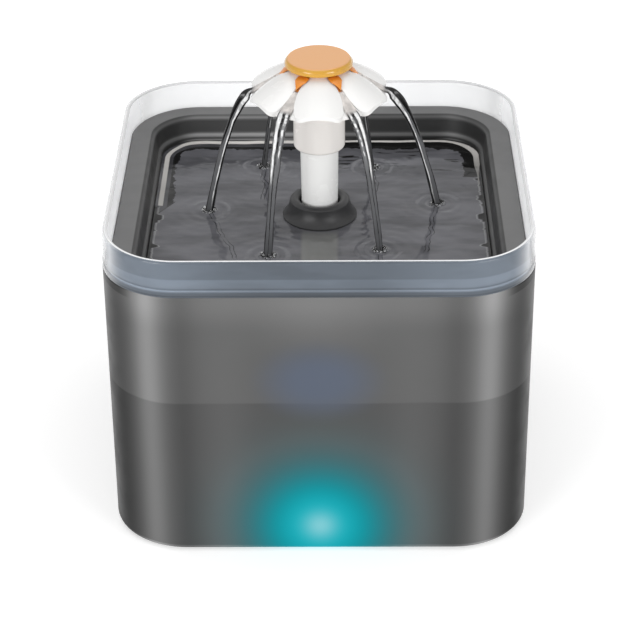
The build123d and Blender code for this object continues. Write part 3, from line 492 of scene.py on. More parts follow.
@dataclass(frozen=True)
class SmokyTank(Finish):
    """Smoky tank wall with painted light: a streak of painted highlight and shade round each corner, darker
    below the water line, and the lamp's glow painted in front as emission.

    The lane runs from 0 at a face's middle through 0.5 at its end to 1 past the rounded corner. The painted
    bands' first amount is what the dry wall shows, and their second what the wet wall shows.
    """

    flat: float = 59.5 * MM
    roughness: float = 0.36
    gloss: float = 0.06
    haze: float = 0.02
    gain: float = 0.745
    face: tuple[float, float] = (0.142, 0.112)
    flank: tuple[float, float] = (0.12, 0.09)
    # Painted light and shade along the lane: a faint light band, a dip, the corner's highlight streak, the
    # shade past it.
    bands: tuple[PaintedBand, ...] = (
        PaintedBand(0.34, 0.09, 0.013, 0.02), PaintedBand(0.49, 0.05, -0.022, -0.018), PaintedBand(0.632, 0.06, 0.15, 0.11),
        PaintedBand(0.8, 0.08, -0.06, -0.065))
    glow_height: float = 14.0 * MM
    glow_half: float = 27.0 * MM
    glow_colour: tuple[float, float, float, float] = rgb(0.0, 0.47, 0.55)
    heart_half: float = 6.5 * MM
    heart_colour: tuple[float, float, float, float] = rgb(0.2, 0.11, 0.09)

    def lane(self, graph: Graph, x: Any, y: Any) -> bpy.types.NodeSocket:
        """Place along the wall: the way along the face, then the turn round the corner, each counted half."""
        wide = graph.math("ABSOLUTE", x)
        run = graph.math("MINIMUM", wide, self.flat)
        over_x = graph.minus(wide, run)
        over_y = graph.math("MAXIMUM", graph.minus(graph.math("ABSOLUTE", y), self.flat), 0.0)
        turn = graph.math("DIVIDE", graph.math("ARCTAN2", over_x, over_y), pi)
        return graph.plus(turn, graph.math("DIVIDE", run, 2 * self.flat))

    def tones(self, graph: Graph, lane: Any) -> list[bpy.types.NodeSocket]:
        """Dry and wet tone along the wall with its painted bands, less the haze that the gloss adds, scaled
        to the light.
        """
        past = graph.remap(lane, 0.8, 1.0)
        plain = [graph.between(past, near, far) for near, far in zip(self.face, self.flank)]
        levels = painted_bands(graph, lane, *plain, self.bands)
        return [graph.grey(graph.times(graph.minus(level, self.haze), self.gain))
                for level in levels]

    def glow(self, graph: Graph, x: Any, y: Any, z: Any) -> tuple[bpy.types.NodeSocket, bpy.types.NodeSocket]:
        """The lamp's light painted on the front wall as emission, and how far it drowns the wall's tone.

        The light is a wide teal bell and a narrow pale bell of the distance from the lamp.
        """
        reach = graph.length(x, graph.minus(z, self.glow_height))
        front = graph.remap(y, -84 * MM, -90 * MM)
        wide, narrow = (graph.scaled(colour, graph.times(front, graph.bell(reach, 0.0, half)))
                        for colour, half in ((self.glow_colour, self.glow_half),
                                             (self.heart_colour, self.heart_half)))
        drowned = graph.remap(reach, 49 * MM, 17.5 * MM)
        return graph.mix(1.0, wide, narrow, "ADD"), graph.times(front, drowned)

    def shader(self, graph: Graph) -> bpy.types.NodeSocket:
        """Satin smoke-grey wall with painted light and shade, and the lamp's glow painted as emission."""
        place = graph.place()
        x, y, z = graph.axes(place)
        lane = self.lane(graph, x, y)
        waver = graph.times(graph.minus(graph.noise(place, 0.02), 0.5), 1.5 * MM)
        height = graph.plus(z, waver)
        drowned = graph.remap(height, Level.STORE.value + 0.5 * MM, Level.STORE.value - 0.5 * MM)
        body = graph.mix(drowned, *self.tones(graph, lane))
        # Painted light: lighter toward the top, on the bottom edge and high on each face's middle; painted
        # shade high past the corners.
        shoulder = graph.remap(z, 112 * MM, 128 * MM, 1.0, 1.3)
        middle = graph.times(graph.remap(lane, 0.36, 0.0), graph.remap(z, 98 * MM, 118 * MM))
        heel = graph.remap(z, 3.7 * MM, 2.9 * MM, 1.0, 1.9)
        painted_light_and_shade = graph.times(graph.times(shoulder, heel), graph.plus(1.0, graph.times(middle, 0.3)))
        collar = graph.times(graph.remap(z, 126.2 * MM, 126.6 * MM), graph.remap(lane, 0.69, 0.77))
        painted_light_and_shade = graph.times(painted_light_and_shade, graph.math("MULTIPLY_ADD", collar, -0.45, 1.0))
        body = graph.scaled(body, painted_light_and_shade)
        # Painted reflection: a faint blue spot on the front wall over the water line.
        near = graph.length(graph.math("DIVIDE", x, 30 * MM),
                            graph.math("DIVIDE", graph.minus(z, 89 * MM), 21 * MM))
        painted_reflection = graph.times(graph.remap(near, 1.1, 0.25), graph.remap(y, -84 * MM, -90 * MM))
        body = graph.mix(graph.times(painted_reflection, 0.9), body, rgb(0.083, 0.099, 0.135))
        skin = graph.group(SKIN, Color=body, Mottle=0.006, Roughness=self.roughness, Grain=0.3)
        # The lamp's glow on the wall, painted as emission over a darkened base colour.
        light, veil = self.glow(graph, x, y, z)
        return graph.add("BsdfPrincipled", {
            "Base Color": graph.mix(veil, skin.outputs["Color"], rgb(0.003, 0.01, 0.011)),
            "Roughness": skin.outputs["Roughness"],
            "Specular IOR Level": self.gloss,
            "Emission Color": light,
            "Emission Strength": 1.0,
            "Normal": graph.bump(skin.outputs["Height"], 0.004 * MM)}).outputs[0]


@dataclass(frozen=True)
class ClearGuard(Finish):
    """Clear guard with a milky depth: neutral at its sides and back, with a clouded blue cast in front whose
    tones are painted light and shade.

    Its back and its outer faces let part of what is behind straight through; its sides' inner faces are
    more frosted and glow faintly as painted light. The painted bands' middles are heights in millimetres:
    the foot's groove, the painted highlight on its edge and the dark line over it.
    """

    plain: tuple[float, float, float, float] = rgb(0.96, 0.965, 0.975)
    cast: tuple[float, float, float, float] = rgb(0.85, 1.0, 1.2)
    gain: float = 0.8
    foot: float = 0.135
    ledge: float = 0.225
    upstand: float = 0.172
    bands: tuple[PaintedBand, ...] = (PaintedBand(130.65, 0.4, -0.045), PaintedBand(132.9, 0.42, 0.19),
                                PaintedBand(133.75, 0.4, -0.06))

    def front(self, graph: Graph, z: Any) -> bpy.types.NodeSocket:
        """Painted tone up the front: the foot, the tray's ledge as seen through the wall, then the upstand.
        """
        height = graph.math("DIVIDE", z, MM)
        plain = graph.between(graph.remap(height, 132.0, 135.0), self.foot, self.ledge)
        plain = graph.between(graph.remap(height, 138.0, 138.6), plain, self.upstand)
        return graph.times(painted_bands(graph, height, plain, 0.0, self.bands)[0], self.gain)

    def shader(self, graph: Graph) -> bpy.types.NodeSocket:
        """Part transmissive, part milky plastic that does not block shadow rays."""
        place = graph.place()
        x, y, z = graph.axes(place)
        near = graph.remap(y, -64 * MM, -85 * MM)
        inner = graph.remap(graph.inset(x, y, GUARD_HALF, GUARD_CORNER), 0.6 * MM, 1.8 * MM)
        side = graph.times(inner, graph.remap(graph.math("ABSOLUTE", x), 83 * MM, 89 * MM))
        long = graph.add("Mapping", {"Vector": place, "Scale": (0.3, 1.0, 1.3)}).outputs[0]
        drift = graph.remap(graph.noise(long, 0.1, 2.0), 0.42, 0.62)
        # Painted light: the front's tone lighter toward the corners, and clouded by the drift.
        wide = graph.remap(graph.math("ABSOLUTE", x), 22 * MM, 72 * MM, 0.95, 1.42)
        clouded = graph.minus(wide, graph.times(drift, 0.12))
        level = graph.times(self.front(graph, z), clouded)
        cast = graph.scaled(self.cast, level)
        # Painted light: a faint glow, stronger on the sides' inner faces.
        painted_glow = graph.times(graph.minus(1.0, near), graph.math("MULTIPLY_ADD", side, 0.16, 0.02))
        body = graph.add("BsdfPrincipled", {
            "Base Color": graph.mix(near, self.plain, cast),
            "Emission Color": graph.scaled(self.plain, painted_glow),
            "Emission Strength": 1.0,
            "Roughness": graph.math("MULTIPLY_ADD", side, 0.2, graph.remap(drift, 0.0, 1.0, 0.12, 0.2)),
            "IOR": 1.46,
            "Specular IOR Level": 0.3,
            "Transmission Weight": 0.35,
            "Alpha": graph.remap(graph.math("MAXIMUM", near, side), 0.0, 1.0, 0.5, 1.0),
            "Normal": graph.bump(drift, 0.06 * MM)}).outputs[0]
        return graph.see_through(body, self.plain)


@dataclass(frozen=True)
class RimLight(Moulded):
    """Painted highlight on the guard's polished edge: bright along the front, duller along the sides and the
    back.
    """

    far: tuple[float, float, float, float] = rgb(0.74, 0.745, 0.75)

    def tone(self, graph: Graph, colour: bpy.types.NodeSocket) -> bpy.types.NodeSocket:
        """Mixes the two colours over the front corners."""
        y = graph.axes(graph.place())[1]
        return graph.mix(graph.remap(y, -50 * MM, -80 * MM), self.far, colour)


@dataclass(frozen=True)
class Clear(Finish):
    """Clear or milky plastic, silicone or glass, with a slight waviness of its face."""

    tint: tuple[float, float, float, float] = rgb(0.95, 0.97, 0.98)
    roughness: float = 0.15
    ior: float = 1.45
    wave: float = 0.03 * MM
    waves_per_mm: float = 0.06

    def shader(self, graph: Graph) -> bpy.types.NodeSocket:
        """Transmissive plastic that does not block shadow rays."""
        height = graph.noise(graph.place(), self.waves_per_mm, 3.0)
        body = graph.add("BsdfPrincipled", {
            "Base Color": self.tint,
            "Roughness": graph.remap(height, 0.3, 0.7, 0.85 * self.roughness, 1.15 * self.roughness),
            "IOR": self.ior,
            "Transmission Weight": 1.0,
            "Normal": graph.bump(height, self.wave)}).outputs[0]
        return graph.see_through(body, self.tint)


@dataclass(frozen=True)
class Water(Finish):
    """Clear water, with a very fine tremble of its surface."""

    tremble: float = 0.05 * MM

    def shader(self, graph: Graph) -> bpy.types.NodeSocket:
        """Glass-clear shader with the refraction of water."""
        height = graph.noise(graph.place(), 0.16, 3.0)
        body = graph.add("BsdfPrincipled", {
            "Base Color": rgb(1.0, 1.0, 1.0),
            "Roughness": 0.0,
            "IOR": 1.333,
            "Transmission Weight": 1.0,
            "Normal": graph.bump(height, self.tremble)}).outputs[0]
        return graph.see_through(body, rgb(1.0, 1.0, 1.0))


@dataclass(frozen=True)
class Landing:
    """Where a stream meets the pool, in millimetres, and how its painted mirror image leans and how far it
    runs.
    """

    x: float
    y: float
    lean: float
    run: float


@dataclass(frozen=True)
class PoolWater(Finish):
    """Water in the tray, clouded by ripples, with the streams' landings and the bright rim at the wall, all
    painted light: reflections, highlights and shade laid into its colour.
    """

    landings: tuple[Landing, ...] = ()
    wall: float = 75.67 * MM
    body: tuple[float, float, float, float] = rgb(0.172, 0.173, 0.19)
    # Colours of painted shade: the dark zone, and the black of the rosettes and of the line at the wall.
    painted_shade: tuple[float, float, float, float] = rgb(0.008, 0.008, 0.007)
    black: tuple[float, float, float, float] = rgb(0.004, 0.004, 0.004)

    def landing_masks(self, graph: Graph) -> list[Any]:
        """Masks of the painted shade, highlights, mirror images and rings, for all landings."""
        masks: list[Any] = [0.0, 0.0, 0.0, 0.0]
        for landing in self.landings:
            marks = graph.group(LANDING, X=landing.x * MM, Y=landing.y * MM, Lean=landing.lean,
                                Run=landing.run * MM)
            masks = [graph.math("MAXIMUM", mask, mark) for mask, mark in zip(masks, marks.outputs)]
        return masks

    def zone(self, graph: Graph, place: Any, y: Any, depth: Any, right: Any) -> bpy.types.NodeSocket:
        """Mask of the ragged painted shade along the back, and of the dark line that closes it on the left.
        """
        coarse = graph.times(graph.minus(graph.noise(place, 0.12), 0.5), 7 * MM)
        fine = graph.times(graph.minus(graph.noise(place, 0.6), 0.5), 2.4 * MM)
        frayed = graph.plus(depth, graph.plus(coarse, fine))
        slant = graph.plus(graph.minus(y, graph.times(depth, 1.7)), 2 * MM)
        ahead = graph.between(right, slant, graph.minus(y, 38 * MM))
        body = graph.times(graph.remap(frayed, 8.2 * MM, 7.6 * MM), graph.remap(ahead, -0.3 * MM, 0.5 * MM))
        shade_line = graph.times(graph.band(ahead, -0.9 * MM, 0.2 * MM, 0.3 * MM),
                            graph.remap(depth, 9.2 * MM, 8.4 * MM))
        shaded = graph.times(body,
                             graph.between(right, graph.remap(depth, 5.0 * MM, 5.8 * MM, 0.5, 1.0), 1.0))
        lines = graph.add("Mapping", {"Vector": place, "Scale": (0.2, 1.5, 1.0)}).outputs[0]
        dashes = graph.times(graph.remap(graph.noise(lines, 0.3, 2.0), 0.6, 0.64),
                             graph.band(y, 44 * MM, 66 * MM, 3 * MM))
        return graph.math("MAXIMUM", graph.math("MAXIMUM", shaded, shade_line), graph.times(dashes, right))

    def strip(self, graph: Graph, x: Any, y: Any, depth: Any, right: Any) -> bpy.types.NodeSocket:
        """Mask of the bright strip of painted reflection: broad along the left, thin along the back, short on
        the right.
        """
        side = graph.remap(graph.math("ABSOLUTE", x), 62 * MM, 74 * MM)
        low = graph.times(side, graph.remap(y, 52 * MM, 36 * MM))
        near = [graph.times(side, 1.3 * MM), graph.math("MULTIPLY_ADD", low, 1.2 * MM, 0.15 * MM)]
        far = [graph.math("MULTIPLY_ADD", side, 1.7 * MM, 1.9 * MM),
               graph.plus(graph.math("MULTIPLY_ADD", side, 1.7 * MM, 1.1 * MM), graph.times(low, -0.9 * MM))]
        inner, outer = (graph.between(right, *pair) for pair in (near, far))
        reach = graph.remap(graph.minus(y, graph.times(right, 21 * MM)), 8.2 * MM, 9.2 * MM)
        return graph.times(graph.band(depth, inner, outer, 0.22 * MM), reach)

    def painted_waterline(self, graph: Graph, y: Any, depth: Any) -> tuple[bpy.types.NodeSocket, bpy.types.NodeSocket]:
        """Masks of the painted shade line at the wall, which bulges here and there, and of the painted light
        line inside.
        """
        along = graph.noise(graph.add("CombineXYZ", {1: y}).outputs[0], 0.11, 3.0)
        edge = graph.remap(along, 0.49, 0.63, 1.1 * MM, 3.8 * MM)
        dark = graph.remap(graph.minus(depth, edge), 0.25 * MM, -0.25 * MM)
        past = graph.minus(depth, edge)
        light = graph.band(past, 0.4 * MM, 1.0 * MM, 0.3 * MM)
        return dark, graph.times(light, graph.remap(along, 0.3, 0.5, 0.4, 1.0))

    def shader(self, graph: Graph) -> bpy.types.NodeSocket:
        """Mostly clouded, partly clear water, its colour laid over with painted light and shade."""
        place = graph.place()
        x, y, _ = graph.axes(place)
        depth = graph.inset(x, y, self.wall, POOL_CORNER)
        right = graph.remap(x, -10 * MM, 10 * MM)
        long = graph.add("Mapping",
                         {"Vector": place, "Scale": (0.5, 1.5, 1.0), "Rotation": (0.0, 0.0, 0.2)}).outputs[0]
        # Painted reflection: long ripple streaks that lighten and darken the water.
        streak = graph.remap(graph.noise(long, 0.07, 5.0), 0.3, 0.7, 0.72, 1.3)
        tone = graph.scaled(self.body, streak)
        # Painted reflection of the white stem in front of the ring.
        stem_reflection = graph.times(graph.remap(graph.math("ABSOLUTE", x), 9.0 * MM, 7.0 * MM),
                            graph.band(y, -52 * MM, -18 * MM, 4 * MM))
        tone = graph.mix(graph.times(stem_reflection, 0.75), tone, rgb(0.29, 0.295, 0.28))
        dark, light, mirror, ring = self.landing_masks(graph)
        # Painted highlight on the landings' rings, then painted shade along the back.
        tone = graph.mix(graph.times(ring, 0.5), tone, rgb(0.32, 0.325, 0.345))
        tone = graph.mix(graph.times(self.zone(graph, place, y, depth, right), 0.96), tone, self.painted_shade)
        # Painted shade and highlight along the water's edge at the wall.
        edge_dark, edge_light = self.painted_waterline(graph, y, depth)
        front = graph.remap(graph.minus(y, graph.times(right, 30 * MM)), 9 * MM, 6 * MM)
        tone = graph.mix(graph.times(edge_dark, front), tone, self.black)
        tone = graph.mix(graph.times(edge_light, graph.times(front, 0.55)), tone, rgb(0.5, 0.5, 0.5))
        # Painted reflection: the bright strip along the wall, paler toward the back.
        lit = graph.between(right, graph.remap(y, 20 * MM, 62 * MM, 0.66, 1.0),
                            graph.remap(y, 40 * MM, 66 * MM, 0.3, 0.85))
        pale = graph.scaled(rgb(1.0, 0.97, 0.93), lit)
        tone = graph.mix(self.strip(graph, x, y, depth, right), tone, pale)
        # Painted reflection of the streams, then the rosettes' painted shade and highlights.
        tone = graph.mix(graph.times(mirror, 0.8), tone, rgb(0.03, 0.03, 0.032))
        tone = graph.mix(dark, tone, self.black)
        tone = graph.mix(light, tone, rgb(0.85, 0.86, 0.87))
        return graph.add("BsdfPrincipled", {
            "Base Color": tone,
            "Roughness": graph.remap(streak, 0.72, 1.3, 0.03, 0.07),
            "IOR": 1.333,
            "Specular IOR Level": 0.25,
            "Transmission Weight": 0.3,
            "Normal": graph.bump(graph.noise(place, 0.16, 3.0), 0.08 * MM)}).outputs[0]


@dataclass(frozen=True)
class Strand:
    """A painted band of one shade along a stream: painted highlight when pale, painted shade when dark.

    The top and the low pairs give its centre across the stream and its half width, both as shares of the
    stream's own half width; the span gives the shares of the fall between which it shows.
    """

    shade: float
    top: tuple[float, float]
    low: tuple[float, float]
    span: tuple[float, float] = (-0.02, 1.1)
    broken: float = 0.0


@dataclass(frozen=True)
class StreamWater(Finish):
    """A falling stream of grey clear water: pale in its gutter, then with painted strands of shade and
    highlight.

    The point attribute `flow` holds the place across the stream, from -1 at its inner side to 1 at its
    outer side, the share of the fall, which is below zero in the gutter, and the stream's number.
    """

    body: tuple[float, float, float, float] = rgb(0.15, 0.152, 0.158)
    film: tuple[float, float, float, float] = rgb(0.74, 0.7, 0.67)
    strands: tuple[Strand, ...] = ()

    def strand(self, graph: Graph, across: Any, share: Any, ragged: Any,
               strand: Strand) -> bpy.types.NodeSocket:
        """Mask of one strand."""
        centre = graph.remap(share, 0.1, 0.7, strand.top[0], strand.low[0])
        half = graph.remap(share, 0.1, 0.6, strand.top[1], strand.low[1])
        off = graph.math("DIVIDE", graph.math("ABSOLUTE", graph.minus(across, centre)), half)
        shown = graph.times(graph.remap(off, 1.25, 0.8), graph.band(share, *strand.span, 0.05))
        return graph.times(shown, graph.remap(ragged, 0.4, 0.55, 1.0 - strand.broken, 1.0))

    def shader(self, graph: Graph) -> bpy.types.NodeSocket:
        """Mostly clouded, partly clear water with the painted strands laid over it in turn, and painted dark
        edges.
        """
        across, share, number = graph.axes(graph.add("Attribute", attribute_name="flow").outputs["Vector"])
        slow, quick = (graph.add("TexNoise", {
            "Vector": graph.add("CombineXYZ", {0: graph.times(across, wide), 1: graph.times(share, along),
                                               2: graph.times(number, 7.3)}).outputs[0],
            "Scale": 1.0, "Detail": 2.0}).outputs["Fac"] for wide, along in ((0.3, 5.0), (0.8, 16.0)))
        swayed = graph.plus(across, graph.times(graph.minus(slow, 0.5), 0.7))
        tone = self.body
        for strand in self.strands:
            tone = graph.mix(self.strand(graph, swayed, share, quick, strand), tone, rgb(*[strand.shade] * 3))
        # Painted shade: darker toward both edges of the stream.
        edge = graph.remap(graph.math("ABSOLUTE", across), 0.66, 0.88)
        tone = graph.mix(graph.times(edge, graph.remap(quick, 0.35, 0.6, 0.5, 0.95)), tone,
                         rgb(0.02, 0.02, 0.021))
        gutter = graph.remap(share, 0.02, -0.05)
        tone = graph.mix(gutter, tone, graph.scaled(self.film, graph.remap(quick, 0.3, 0.7, 0.8, 1.15)))
        return graph.add("BsdfPrincipled", {
            "Base Color": tone,
            "Roughness": graph.remap(quick, 0.3, 0.7, 0.04, 0.12),
            "IOR": 1.333,
            "Transmission Weight": 0.25}).outputs[0]


@dataclass(frozen=True)
class Lens(Finish):
    """The lamp's teal window, lit from behind by its row of lamps."""

    colour: tuple[float, float, float, float] = rgb(0.02, 0.45, 0.5)
    pitch: float = 5.5 * MM

    def shader(self, graph: Graph) -> bpy.types.NodeSocket:
        """Glossy teal plastic that glows brighter in front of each lamp."""
        x, _, _ = graph.axes(graph.place())
        near = graph.math("PINGPONG", graph.plus(x, self.pitch / 2), self.pitch / 2)
        spot = graph.remap(near, 0.2 * self.pitch, 0.5 * self.pitch, 0.35, 1.0)
        glow = graph.mix(spot, rgb(0.0, 0.1, 0.12), rgb(0.3, 0.95, 1.0))
        skin = graph.group(SKIN, Color=self.colour, Mottle=0.01, Roughness=0.12, Grain=0.2)
        return graph.add("BsdfPrincipled", {
            "Base Color": skin.outputs["Color"],
            "Roughness": skin.outputs["Roughness"],
            "Emission Color": glow,
            "Emission Strength": 2.0}).outputs[0]


class Weave(Enum):
    """What a porous filter material is made of."""

    GRANULES = "granules"
    FELT = "felt"
    FOAM = "foam"


@dataclass(frozen=True)
class Porous(Finish):
    """Granules, felt or open foam: cells of its own size, with painted shade in the gaps."""

    weave: Weave = Weave.FELT
    colour: tuple[float, float, float, float] = rgb(0.7, 0.7, 0.68)
    gap_shade: tuple[float, float, float, float] = rgb(0.4, 0.4, 0.39)
    cells_per_mm: float = 0.8
    depth: float = 0.5 * MM

    def shader(self, graph: Graph) -> bpy.types.NodeSocket:
        """Rough surface whose cells come from a Voronoi pattern, or from noise for felt."""
        place = graph.place()
        if self.weave is Weave.FELT:
            cell = graph.noise(place, self.cells_per_mm, 8.0)
        else:
            cell = graph.add("TexVoronoi",
                             {"Vector": place, "Scale": self.cells_per_mm / MM}).outputs["Distance"]
        mask = graph.remap(cell, 0.2, 0.6)
        if self.weave is Weave.GRANULES:
            mask = graph.minus(1.0, mask)
        return graph.add("BsdfPrincipled", {
            # Painted shade: the gaps between the cells darker.
            "Base Color": graph.mix(mask, self.gap_shade, self.colour),
            "Roughness": graph.remap(mask, 0.0, 1.0, 0.95, 0.7),
            "Normal": graph.bump(mask, self.depth)}).outputs[0]


@dataclass(frozen=True)
class Striped(Finish):
    """Stacked sheets or wound wire: fine stripes across one axis."""

    colour: tuple[float, float, float, float] = rgb(0.4, 0.4, 0.41)
    groove: tuple[float, float, float, float] = rgb(0.08, 0.08, 0.08)
    axis: int = 1
    pitch: float = 0.5 * MM
    metallic: float = 1.0
    roughness: float = 0.4

    def shader(self, graph: Graph) -> bpy.types.NodeSocket:
        """Metal whose grooves repeat at the stripes' pitch."""
        along = graph.axes(graph.place())[self.axis]
        wave = graph.math("PINGPONG", along, self.pitch / 2)
        rise = graph.remap(wave, 0.0, 0.25 * self.pitch)
        return graph.add("BsdfPrincipled", {
            "Base Color": graph.mix(rise, self.groove, self.colour),
            "Metallic": self.metallic,
            "Roughness": graph.remap(rise, 0.0, 1.0, 0.8, self.roughness),
            "Normal": graph.bump(rise, 0.1 * MM)}).outputs[0]


BLACK_RUBBER = Moulded("soft_black_rubber", colour=rgb(0.018, 0.018, 0.018), roughness=0.6, mottle=0.006,
                       grain=2.0)
WATER = Water("water")
# Each kind of stream's strands: dark ones are painted shade, pale ones painted highlight.
SIDE_STREAM = StreamWater("side_stream_water", strands=(
    Strand(0.012, (0.46, 0.5), (0.62, 0.2), (-0.02, 0.62)),
    Strand(0.012, (-0.95, 0.2), (-0.7, 0.16)),
    Strand(0.95, (-0.42, 0.36), (-0.34, 0.13), (0.03, 0.95), 0.5)))
FRONT_STREAM = StreamWater("front_stream_water", strands=(
    Strand(0.95, (0.52, 0.3), (0.5, 0.15), (0.0, 0.62), 0.25),
    Strand(0.9, (-0.5, 0.2), (-0.35, 0.1), (0.0, 0.5), 0.8),
    Strand(0.012, (0.02, 0.2), (0.1, 0.1), (0.0, 1.1), 0.5)))
BACK_STREAM = StreamWater("back_stream_water", body=rgb(0.13, 0.131, 0.135), strands=(
    Strand(0.02, (0.35, 0.2), (0.3, 0.14), (0.0, 1.1), 0.8),
    Strand(0.6, (-0.35, 0.16), (-0.35, 0.12), (0.0, 0.8), 1.0)))

FINISHES: dict[str, Finish] = {
    "tank_smoke": SmokyTank("smoky_tank"),
    "clear_plastic": ClearGuard("clear_guard"),
    "tray_grey": TrayGrey("tray_grey_satin", colour=rgb(0.08, 0.08, 0.083), roughness=0.42,
                          grain_depth=0.02 * MM, gloss=0.25),
    "ring_charcoal": Moulded("ring_charcoal_satin", colour=rgb(0.032, 0.032, 0.033), roughness=0.4,
                             gloss=0.4),
    "riser_clear": Clear("riser_tube", tint=rgb(0.86, 0.9, 0.92), roughness=0.1),
    "silicone": Clear("soft_silicone", tint=rgb(0.8, 0.82, 0.82), roughness=0.5, ior=1.41),
    "black_rubber": BLACK_RUBBER,
    "stem_white": Moulded("stem_polished_white", colour=rgb(0.95, 0.948, 0.93), roughness=0.25),
    "petal_white": PetalWhite("petal_polished_white", colour=rgb(0.785, 0.78, 0.77), roughness=0.22,
                              gloss=0.35),
    "core_orange": Moulded("core_orange", colour=rgb(0.92, 0.36, 0.07), roughness=0.3),
    "cap_orange": CapOrange("cap_orange", colour=rgb(0.87, 0.435, 0.165), roughness=0.15),
    "basket_white": Moulded("basket_white", colour=rgb(0.78, 0.78, 0.77), roughness=0.45),
    "carbon": Porous("carbon_granules", weave=Weave.GRANULES, colour=rgb(0.035, 0.035, 0.036),
                     gap_shade=rgb(0.004, 0.004, 0.004), cells_per_mm=0.6, depth=0.7 * MM),
    "cotton": Porous("cotton_felt", colour=rgb(0.86, 0.86, 0.84), gap_shade=rgb(0.6, 0.6, 0.58), cells_per_mm=1.6),
    "pump_black": Moulded("pump_black", colour=rgb(0.025, 0.025, 0.028), roughness=0.42, grain=1.6),
    "lamination_steel": Striped("lamination_steel"),
    "copper_winding": Striped("copper_winding", colour=rgb(0.75, 0.3, 0.13), axis=0, pitch=0.35 * MM,
                              roughness=0.3),
    "resin": Moulded("cast_resin", colour=rgb(0.02, 0.02, 0.022), roughness=0.12, grain=0.2),
    "shaft_ceramic": Moulded("ground_ceramic", colour=rgb(0.82, 0.82, 0.79), roughness=0.18, grain=0.4),
    "outlet_white": Moulded("outlet_white", colour=rgb(0.76, 0.76, 0.75), roughness=0.4),
    "lamp_board": Moulded("circuit_board_green", colour=rgb(0.015, 0.1, 0.05), roughness=0.3, mottle=0.03),
    "lamp_teal": Lens("lamp_lens_teal"),
    "impeller_white": Moulded("impeller_white", colour=rgb(0.78, 0.78, 0.78), roughness=0.38),
    "magnet_ferrite": Moulded("sintered_ferrite", colour=rgb(0.07, 0.07, 0.075), roughness=0.6, mottle=0.03,
                              grain=3.0),
    "sponge": Porous("filter_foam", weave=Weave.FOAM, colour=rgb(0.05, 0.05, 0.055),
                     gap_shade=rgb(0.01, 0.01, 0.01), cells_per_mm=1.1, depth=0.6 * MM),
    "dial_grey": Moulded("dial_grey", colour=rgb(0.3, 0.31, 0.33), roughness=0.4),
}


# --------------------------------------------------------------------- surfaces ---
def skin_rings(rings: np.ndarray, closed: bool = False) -> tuple[np.ndarray, np.ndarray]:
    """Joins a stack of rings into a closed skin.

    Ring i and ring i+1 are joined by four-sided faces all the way round. A stack that is not closed on
    itself gets a fan of triangles to a middle point at each end.

    Args:
        rings: Points, shaped (rings, points in a ring, 3).
        closed: Whether the last ring joins the first.

    Returns:
        The points, shaped (count, 3), and the faces as four point numbers each; a triangle repeats its last.
    """
    count, around = rings.shape[:2]
    points = rings.reshape(-1, 3)
    first = np.arange(count if closed else count - 1)[:, None] * around
    second = (first + around) % (count * around)
    here = np.arange(around)[None, :]
    after = (here + 1) % around
    faces = np.stack([first + here, first + after, second + after, second + here], axis=-1).reshape(-1, 4)
    if closed:
        return points, faces
    middles = rings[[0, -1]].mean(axis=1)
    start, end = len(points), len(points) + 1
    last = (count - 1) * around
    side, next_side = here[0], after[0]
    near = np.stack([next_side, side, np.full(around, start), np.full(around, start)], axis=-1)
    far = np.stack([last + side, last + next_side, np.full(around, end), np.full(around, end)], axis=-1)
    return np.concatenate([points, middles]), np.concatenate([faces, near, far])


def outward(points: np.ndarray, faces: np.ndarray) -> np.ndarray:
    """Turns a closed skin's faces outward.

    The signed volume is a sixth of the sum, over the faces, of each corner's dot product with the cross
    product of the other two; where it is negative the faces run the other way round.
    """
    a, b, c, d = (points[faces[:, i]] for i in range(4))
    volume = np.einsum("ij,ij->", a, np.cross(b, c)) + np.einsum("ij,ij->", a, np.cross(c, d))
    return faces[:, ::-1] if volume < 0 else faces


def make_piece(name: str, skins: Iterable[tuple[np.ndarray, np.ndarray]], finish: Finish, body: str,
               flow: np.ndarray | None = None) -> bpy.types.Object:
    """Makes one smooth mesh object from closed skins and lets it ride on a body.

    Args:
        name: The object's name.
        skins: (points, faces) of each closed skin, in metres.
        finish: Its finish.
        body: The CAD body that it moves with.
        flow: A vector for each point, kept as the point attribute `flow`.

    Returns:
        The new object.
    """
    vertices: list[list[float]] = []
    polygons: list[tuple[int, ...]] = []
    for points, faces in skins:
        faces = outward(points, faces) + len(vertices)
        vertices += points.tolist()
        polygons += [tuple(dict.fromkeys(face)) for face in faces.tolist()]
    mesh = bpy.data.meshes.new(name)
    mesh.from_pydata(vertices, [], polygons)
    mesh.polygons.foreach_set("use_smooth", np.ones(len(mesh.polygons), bool))
    mesh.update()
    mesh.materials.append(finish.material())
    if flow is not None:
        mesh.attributes.new("flow", "FLOAT_VECTOR", "POINT").data.foreach_set("vector", flow.ravel())
    piece = bpy.data.objects.new(name, mesh)
    bpy.context.scene.collection.objects.link(piece)
    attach(piece, body)
    log.info("piece %s: %d faces on %s", name, len(polygons), body)
    return piece


def square_outline(half: float, corner: float, count: int) -> np.ndarray:
    """Even points round a rounded square.

    The place along the outline runs through four straight sides of length 2(half - corner) and four
    quarter circles. On a straight side the point moves along it; on a quarter circle it is the corner's
    centre plus the corner radius along the turned direction.

    Args:
        half: Half the square's width.
        corner: Its corner radius.
        count: How many points.

    Returns:
        The points, shaped (count, 2), counter-clockwise from the middle of the right side.
    """
    straight = 2 * (half - corner)
    arc = corner * pi / 2
    along = np.arange(count) / count * 4 * (straight + arc) + straight / 2
    side = np.floor(along / (straight + arc)).astype(int)
    rest = along - side * (straight + arc)
    on_arc = np.clip(rest - straight, 0, arc) / corner
    run = np.clip(rest, 0, straight) - straight / 2
    x = straight / 2 + corner * np.cos(on_arc)
    y = run + corner * np.sin(on_arc)
    turn = side * pi / 2
    return np.stack([x * np.cos(turn) - y * np.sin(turn), x * np.sin(turn) + y * np.cos(turn)], axis=-1)


